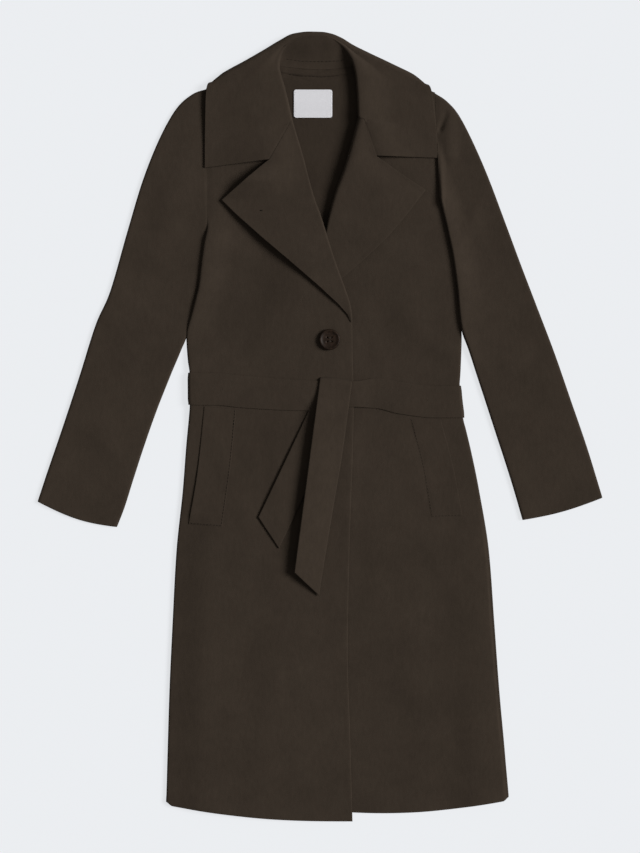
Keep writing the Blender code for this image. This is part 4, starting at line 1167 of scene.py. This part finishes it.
def neck_stitches_and_painted_shade(name, back, stand, look):
    """Two rows of dark stitches in the neck opening: on the back and on the collar's stand. Besides the
    seam's stitches, they paint the shade of its puckers.
    """
    paths = []
    for piece, off, start, end, waves in (
        (back, -10.0, -46, 30, BACK_SEAM_WAVES),
        (stand, 11.0, -50, 36, STAND_SEAM_WAVES),
    ):
        x = np.linspace(start, end, 60)
        y = back_top(x) + off
        plan = np.stack([x, y + unevenness(x, y, waves)], axis=1)
        paths += stitches(np.column_stack([plan, top_at(piece, plan)]), *NECK_STITCH)
    return threads(name, paths, NECK_THREAD, look)


def label_stitches(name, look):
    """Stitches along the two short sides of the label."""
    paths = []
    y = np.linspace(LABEL_Y[0] + LABEL_STITCH_END, LABEL_Y[1] - LABEL_STITCH_END, 30)
    for x in (LABEL_X[0] + LABEL_STITCH_INSET, LABEL_X[1] - LABEL_STITCH_INSET):
        level = np.full(y.shape, x)
        paths += stitches(stacked(level, y, back_z(level, y) + HALF + AIR + LABEL), *LABEL_STITCH)
    return threads(name, paths, LABEL_THREAD, look)


def lapel_tack(name, piece, look):
    """A short thread tack on the right lapel."""
    part = np.linspace(0, 1, 9)
    arch = TACK_ARCH * np.sin(np.pi * part)
    plan = np.stack([TACK_X + TACK_LENGTH * (part - 0.5), TACK_Y + arch], axis=1)
    path = np.column_stack([plan, top_at(piece, plan) + arch])
    return threads(name, [path, path + np.array(TACK_ASIDE)], TACK_THREAD, look)


def label(name, look):
    sections = []
    low, high = LABEL_Y
    corner = LABEL_CORNER * (1 - np.cos(np.radians([0, 20, 40, 60, 78, 90])))
    middle = np.linspace(low + LABEL_CORNER, high - LABEL_CORNER, 30)[1:-1]
    for y in np.concatenate([low + corner, middle, high - corner[::-1]]):
        inside = min(y - low, high - y, LABEL_CORNER) - LABEL_CORNER
        cut = LABEL_CORNER - math.sqrt(max(LABEL_CORNER**2 - inside**2, 0.0))
        x = np.linspace(LABEL_X[0] + cut, LABEL_X[1] - cut, 56)
        level = np.full(x.shape, y)
        sections.append(stacked(x, level, back_z(x, level) + HALF + AIR + LABEL / 2))
    return cloth(name, sections, LABEL, look)


def button(name, look):
    """A turned button with a raised rim, a dished middle and four sewing holes."""
    radius = BUTTON_DIAMETER / 2
    profile = table("part height", [
        (0.0, 0.0), (0.86, 0.0), (0.92, 0.05), (0.97, 0.17), (1.0, 0.34), (1.0, 0.60), (0.985, 0.78),
        (0.95, 0.92), (0.90, 0.995), (0.85, 0.985), (0.79, 0.90), (0.73, 0.78), (0.66, 0.70),
        (0.50, 0.665), (0.30, BUTTON_DISH), (0.0, BUTTON_DISH),
    ])
    around = circle(BUTTON_SIDES)
    rim_x = BUTTON_X + radius * np.cos(around)
    rim_y = BUTTON_Y + radius * np.sin(around)
    seat = float(upper_z(rim_x, rim_y).max()) + HALF + BUTTON_REST
    points = []
    for part, height in zip(*profile.values()):
        reach = radius * max(part, 0.002)
        level = np.full(BUTTON_SIDES, seat + BUTTON_THICK * height)
        points.append(stacked(BUTTON_X + reach * np.cos(around), BUTTON_Y + reach * np.sin(around), level))
    made = add_piece(name, np.concatenate(points), ring_faces(len(points), BUTTON_SIDES), look)
    holes = []
    for index in range(4):
        turn = math.radians(45 + 90 * index)
        hole_x = BUTTON_X + BUTTON_HOLE_STEP / math.sqrt(2) * math.cos(turn)
        hole_y = BUTTON_Y + BUTTON_HOLE_STEP / math.sqrt(2) * math.sin(turn)
        holes.append((hole_x, hole_y))
        side_x = hole_x + BUTTON_HOLE / 2 * np.cos(circle(HOLE_SIDES))
        side_y = hole_y + BUTTON_HOLE / 2 * np.sin(circle(HOLE_SIDES))
        ends = (seat - DRILL_PAST, seat + BUTTON_THICK + DRILL_PAST)
        wall = np.concatenate([stacked(side_x, side_y, np.full(HOLE_SIDES, z)) for z in ends])
        drill = add_piece(f"drill_{index}", wall, ring_faces(2, HOLE_SIDES), look)
        cut = made.modifiers.new(f"hole_{index}", "BOOLEAN")
        cut.operation = "DIFFERENCE"
        cut.solver = "EXACT"
        cut.object = drill
        drilled = bpy.data.meshes.new_from_object(made.evaluated_get(bpy.context.evaluated_depsgraph_get()))
        made.modifiers.clear()
        made.data = drilled
        bpy.data.objects.remove(drill)
    bpy.context.view_layer.update()
    return made, holes, seat


def button_thread(name, holes, seat, look):
    """Two parallel pairs of strands through the holes of the button."""
    face = seat + BUTTON_THICK * BUTTON_DISH
    part = np.linspace(0, 1, 13)
    paths = []
    for first, second in ((0, 1), (3, 2)):
        (x0, y0), (x1, y1) = holes[first], holes[second]
        for aside in (-STRAND_ASIDE, STRAND_ASIDE):
            x = x0 + (x1 - x0) * part
            y = y0 + (y1 - y0) * part + aside * np.sin(np.pi * (0.15 + 0.7 * part))
            z = face - STRAND_SINK + STRAND_ARCH * np.sin(np.pi * part) ** STRAND_BEND
            paths.append(stacked(x, y, z))
    return threads(name, paths, BUTTON_THREAD, look)


# Finishes


def feed(tree, made, inputs):
    """Gives each named input of a node a value, or the output of another node."""
    for key, value in inputs.items():
        if isinstance(value, bpy.types.NodeSocket):
            tree.links.new(value, made.inputs[key])
        else:
            made.inputs[key].default_value = value


def node(tree, kind, inputs=None, **settings):
    made = tree.nodes.new(kind)
    for key, value in settings.items():
        setattr(made, key, value)
    feed(tree, made, inputs or {})
    return made


def new_finish(name):
    """A new material, its node tree and its shader."""
    made = bpy.data.materials.new(name)
    made.use_nodes = True
    return made, made.node_tree, made.node_tree.nodes["Principled BSDF"]


def ramp(tree, source, dark, light, places=(0.0, 1.0)):
    """A colour between dark and light, by a value."""
    made = node(tree, "ShaderNodeValToRGB", {"Fac": source})
    for element, place, colour in zip(made.color_ramp.elements, places, (dark, light)):
        element.position = place
        element.color = (*colour, 1.0)
    return made.outputs["Color"]


def bumped(tree, height, strength, distance):
    """A normal that follows a height."""
    inputs = {"Height": height, "Strength": strength, "Distance": distance}
    return node(tree, "ShaderNodeBump", inputs).outputs["Normal"]


def felted_nap():
    """Tone and height of a brushed, felted wool face: short fibres, small clumps and broad mottling."""
    group = bpy.data.node_groups.new("felted_nap", "ShaderNodeTree")
    for output in ("Tone", "Height"):
        group.interface.new_socket(output, in_out="OUTPUT", socket_type="NodeSocketFloat")
    place = node(group, "ShaderNodeTexCoord").outputs["Object"]
    stretch = {"Vector": place, "Scale": (1.0, 0.45, 1.0)}
    brushed = node(group, "ShaderNodeMapping", stretch).outputs["Vector"]

    def field(scale, detail, rough, source):
        inputs = {"Scale": scale, "Detail": detail, "Roughness": rough, "Vector": source}
        return node(group, "ShaderNodeTexNoise", inputs).outputs["Fac"]

    def weighted(first, share, more):
        inputs = {0: first, 1: share, 2: more}
        return node(group, "ShaderNodeMath", inputs, operation="MULTIPLY_ADD").outputs[0]

    fibres = field(900.0, 3.0, 0.6, brushed)
    clumps = field(190.0, 2.0, 0.55, brushed)
    mottle = field(24.0, 2.0, 0.5, place)
    patches = field(9.0, 1.0, 0.5, place)
    broad = weighted(mottle, 0.27, weighted(patches, 0.18, 0.015))
    tone = weighted(fibres, 0.28, weighted(clumps, 0.24, broad))
    height = weighted(fibres, 0.7, weighted(clumps, 0.9, 0.0))
    node(group, "NodeGroupOutput", {"Tone": tone, "Height": height})
    return group


def wool(name, nap, dark, light):
    made, tree, shader = new_finish(name)
    face = node(tree, "ShaderNodeGroup", node_tree=nap).outputs
    feed(tree, shader, {
        "Base Color": ramp(tree, face["Tone"], dark, light, (0.32, 0.68)),
        "Normal": bumped(tree, face["Height"], 0.35, 0.0006),
        "Roughness": 0.95,
        "Specular IOR Level": 0.05,
        "Sheen Weight": 0.06,
        "Sheen Roughness": 0.5,
        "Sheen Tint": (0.35, 0.29, 0.24, 1.0),
    })
    return made


def horn(name):
    made, tree, shader = new_finish(name)
    place = node(tree, "ShaderNodeTexCoord").outputs["Object"]
    swirled = {"Vector": place, "Scale": 160.0, "Detail": 4.0, "Distortion": 1.4}
    marble = node(tree, "ShaderNodeTexNoise", swirled).outputs["Fac"]
    wear = node(tree, "ShaderNodeTexNoise", {"Vector": place, "Scale": 700.0, "Detail": 3.0}).outputs["Fac"]
    rough = {"Value": wear, "To Min": 0.42, "To Max": 0.58}
    dark, light = (0.0105, 0.0062, 0.0038), (0.0270, 0.0150, 0.0090)
    feed(tree, shader, {
        "Base Color": ramp(tree, marble, dark, light, (0.35, 0.72)),
        "Roughness": node(tree, "ShaderNodeMapRange", rough).outputs["Result"],
        "Specular IOR Level": 0.12,
    })
    return made


def thread_finish(name, dark, light):
    made, tree, shader = new_finish(name)
    place = node(tree, "ShaderNodeTexCoord").outputs["Object"]
    twisted = {"Vector": place, "Scale": 900.0, "Distortion": 1.0}
    twist = node(tree, "ShaderNodeTexWave", twisted, bands_direction="DIAGONAL")
    feed(tree, shader, {
        "Base Color": ramp(tree, twist.outputs["Fac"], dark, light),
        "Roughness": 0.7,
        "Specular IOR Level": 0.1,
    })
    return made


def woven_label(name):
    made, tree, shader = new_finish(name)
    place = node(tree, "ShaderNodeTexCoord").outputs["Object"]
    warp, weft = (
        node(tree, "ShaderNodeTexWave", {"Vector": place, "Scale": scale}, bands_direction=way).outputs["Fac"]
        for way, scale in (("X", 620.0), ("Y", 480.0))
    )
    weave = node(tree, "ShaderNodeMath", {0: warp, 1: weft}, operation="MULTIPLY").outputs[0]
    feed(tree, shader, {
        "Base Color": ramp(tree, weave, (0.66, 0.655, 0.68), (0.86, 0.85, 0.88)),
        "Normal": bumped(tree, weave, 0.3, 0.0002),
        "Roughness": 0.6,
    })
    return made


# The coat

nap = felted_nap()
outer_wool = wool("brown_wool_face", nap, (0.0318, 0.0237, 0.0173), (0.0468, 0.0349, 0.0255))
# Painted shade: the inside wool is a darker copy of the face wool, for the shade that falls inside the neck
# opening.
inside_wool_painted_shade = wool("brown_wool_inside", nap, (0.0279, 0.0207, 0.0151), (0.0411, 0.0305, 0.0221))
dark_horn = horn("dark_horn")
brown_thread = thread_finish("brown_thread", (0.022, 0.016, 0.012), (0.040, 0.030, 0.023))
# Painted shade: this thread is much darker than the cloth, and the welt and neck stitches made of it also
# paint the shade of the seams' grooves and puckers; the lapel tack is plain dark thread.
dark_thread_and_painted_shade = thread_finish("dark_thread_and_painted_shade", (0.006, 0.0042, 0.003), (0.012, 0.0085, 0.006))
white_thread = thread_finish("white_thread", (0.60, 0.59, 0.61), (0.80, 0.79, 0.82))
white_label = woven_label("white_woven_label")


def dress(piece, node_name=None):
    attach(piece, "root")
    if node_name:
        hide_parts(node_name)


def laid(piece, node_name):
    dress(piece, node_name)


# The back is made in the darker inside wool, which paints the shade inside the neck opening.
back_piece = back_panel("coat_back", inside_wool_painted_shade)
laid(back_piece, "back")
right_front = front_panel("right_front", FRONT_RIGHT, outer_wool)
laid(right_front, "front_right")
left_front = front_panel("left_front", FRONT_LEFT, outer_wool)
laid(left_front, "front_left")
right_lapel = lapel("right_lapel", FRONT_RIGHT, outer_wool)
laid(right_lapel, "lapel_right")
left_lapel = lapel("left_lapel", FRONT_LEFT, outer_wool)
laid(left_lapel, "lapel_left")
collar_piece = collar("coat_collar", outer_wool)
laid(collar_piece, "collar")
right_sleeve = sleeve("right_sleeve", SLEEVE_RIGHT, towards=1, lift=0.0, look=outer_wool)
laid(right_sleeve, "sleeve_right")
left_sleeve = sleeve("left_sleeve", SLEEVE_LEFT, towards=-1, lift=SLEEVE_LIFT, look=outer_wool)
laid(left_sleeve, "sleeve_left")
right_welt = welt("right_pocket_welt", FRONT_RIGHT, WELT_RIGHT, lift=1.3, set_in=0.75, look=outer_wool)
laid(right_welt, "pocket_welt_right")
left_welt = welt("left_pocket_welt", FRONT_LEFT, WELT_LEFT, lift=0.1, set_in=0.55, look=outer_wool)
laid(left_welt, "pocket_welt_left")
waist_belt = belt("waist_belt", outer_wool)
laid(waist_belt, "belt")
tie_over = tie("belt_end_over", TIE_OVER, TIE_OVER_CUT, TIE_HOOK, narrowed=0.14, look=outer_wool)
laid(tie_over, "belt_tie_over")
tie_under = tie("belt_end_under", TIE_UNDER, TIE_UNDER_CUT, hook=0.0, narrowed=0.0, look=outer_wool)
laid(tie_under, "belt_tie_under")
neck_label = label("neck_label", white_label)
laid(neck_label, "label")

button_piece, button_holes, button_seat = button("coat_button", dark_horn)
dress(button_piece, "button")
dress(button_thread("button_thread", button_holes, button_seat, brown_thread))
# The welt stitches paint the shade of the grooves along the welts' sewn edges as well.
for stitch_name, welt_piece, front_piece, welt_rows, thread_radius in (
    ("right_welt_stitches", right_welt, right_front, WELT_RIGHT, WELT_THREAD_RIGHT),
    ("left_welt_stitches", left_welt, left_front, WELT_LEFT, WELT_THREAD_LEFT),
):
    sewing = welt_stitches_and_painted_shade(stitch_name, welt_piece, front_piece, welt_rows, thread_radius, dark_thread_and_painted_shade)
    dress(sewing)
# The neck stitches paint the shade of the seam's puckers as well.
dress(neck_stitches_and_painted_shade("neck_stitches_and_painted_shade", back_piece, collar_piece, dark_thread_and_painted_shade))
dress(label_stitches("label_stitches", white_thread))
dress(lapel_tack("lapel_tack", right_lapel, dark_thread_and_painted_shade))

# Floor, light and camera, in metres and degrees

FLOOR_HALF = 15
FLOOR_DROP = 0.0003
SKY = 0.20
KEY_ENERGY = 3.55
KEY_WIDTH = 25
KEY_TURN = 8
KEY_HEIGHT = 38
VIEW_LENGTH = 1.2198
VIEW_LEVEL = 0.008

corners = [(x * FLOOR_HALF, y * FLOOR_HALF, 0) for x, y in ((-1, -1), (1, -1), (1, 1), (-1, 1))]
floor_mesh = bpy.data.meshes.new("floor")
floor_mesh.from_pydata(corners, [], [(0, 1, 2, 3)])
floor = linked("floor", floor_mesh)
floor.location.z = -FLOOR_DROP
paper, paper_tree, paper_shader = new_finish("pale_floor")
feed(paper_tree, paper_shader, {
    "Base Color": (0.15, 0.155, 0.16, 1.0),
    "Roughness": 1.0,
    "Specular IOR Level": 0.0,
    "Emission Color": (0.700, 0.714, 0.735, 1.0),
    "Emission Strength": 1.0,
})
floor_mesh.materials.append(paper)

world = bpy.data.worlds.new("studio")
world.use_nodes = True
sky_light = {"Color": (1.0, 1.0, 1.0, 1.0), "Strength": SKY}
feed(world.node_tree, world.node_tree.nodes["Background"], sky_light)
bpy.context.scene.world = world

key = bpy.data.lights.new("key", "SUN")
key.energy = KEY_ENERGY
key.angle = math.radians(KEY_WIDTH)
key_turn, key_height = math.radians(KEY_TURN), math.radians(KEY_HEIGHT)
to_light = Vector((math.cos(key_turn), math.sin(key_turn), math.tan(key_height)))
linked("key", key).rotation_euler = to_light.to_track_quat("Z", "Y").to_euler()

camera = bpy.data.cameras.new("camera")
camera.lens = 100.0
camera.sensor_width = 36.0
camera.clip_end = 100.0
camera_object = linked("camera", camera)
camera_object.location = (0.0, 0.0, VIEW_LEVEL + VIEW_LENGTH * camera.lens / camera.sensor_width)
bpy.context.scene.camera = camera_object
bpy.context.scene.view_settings.view_transform = "Standard"
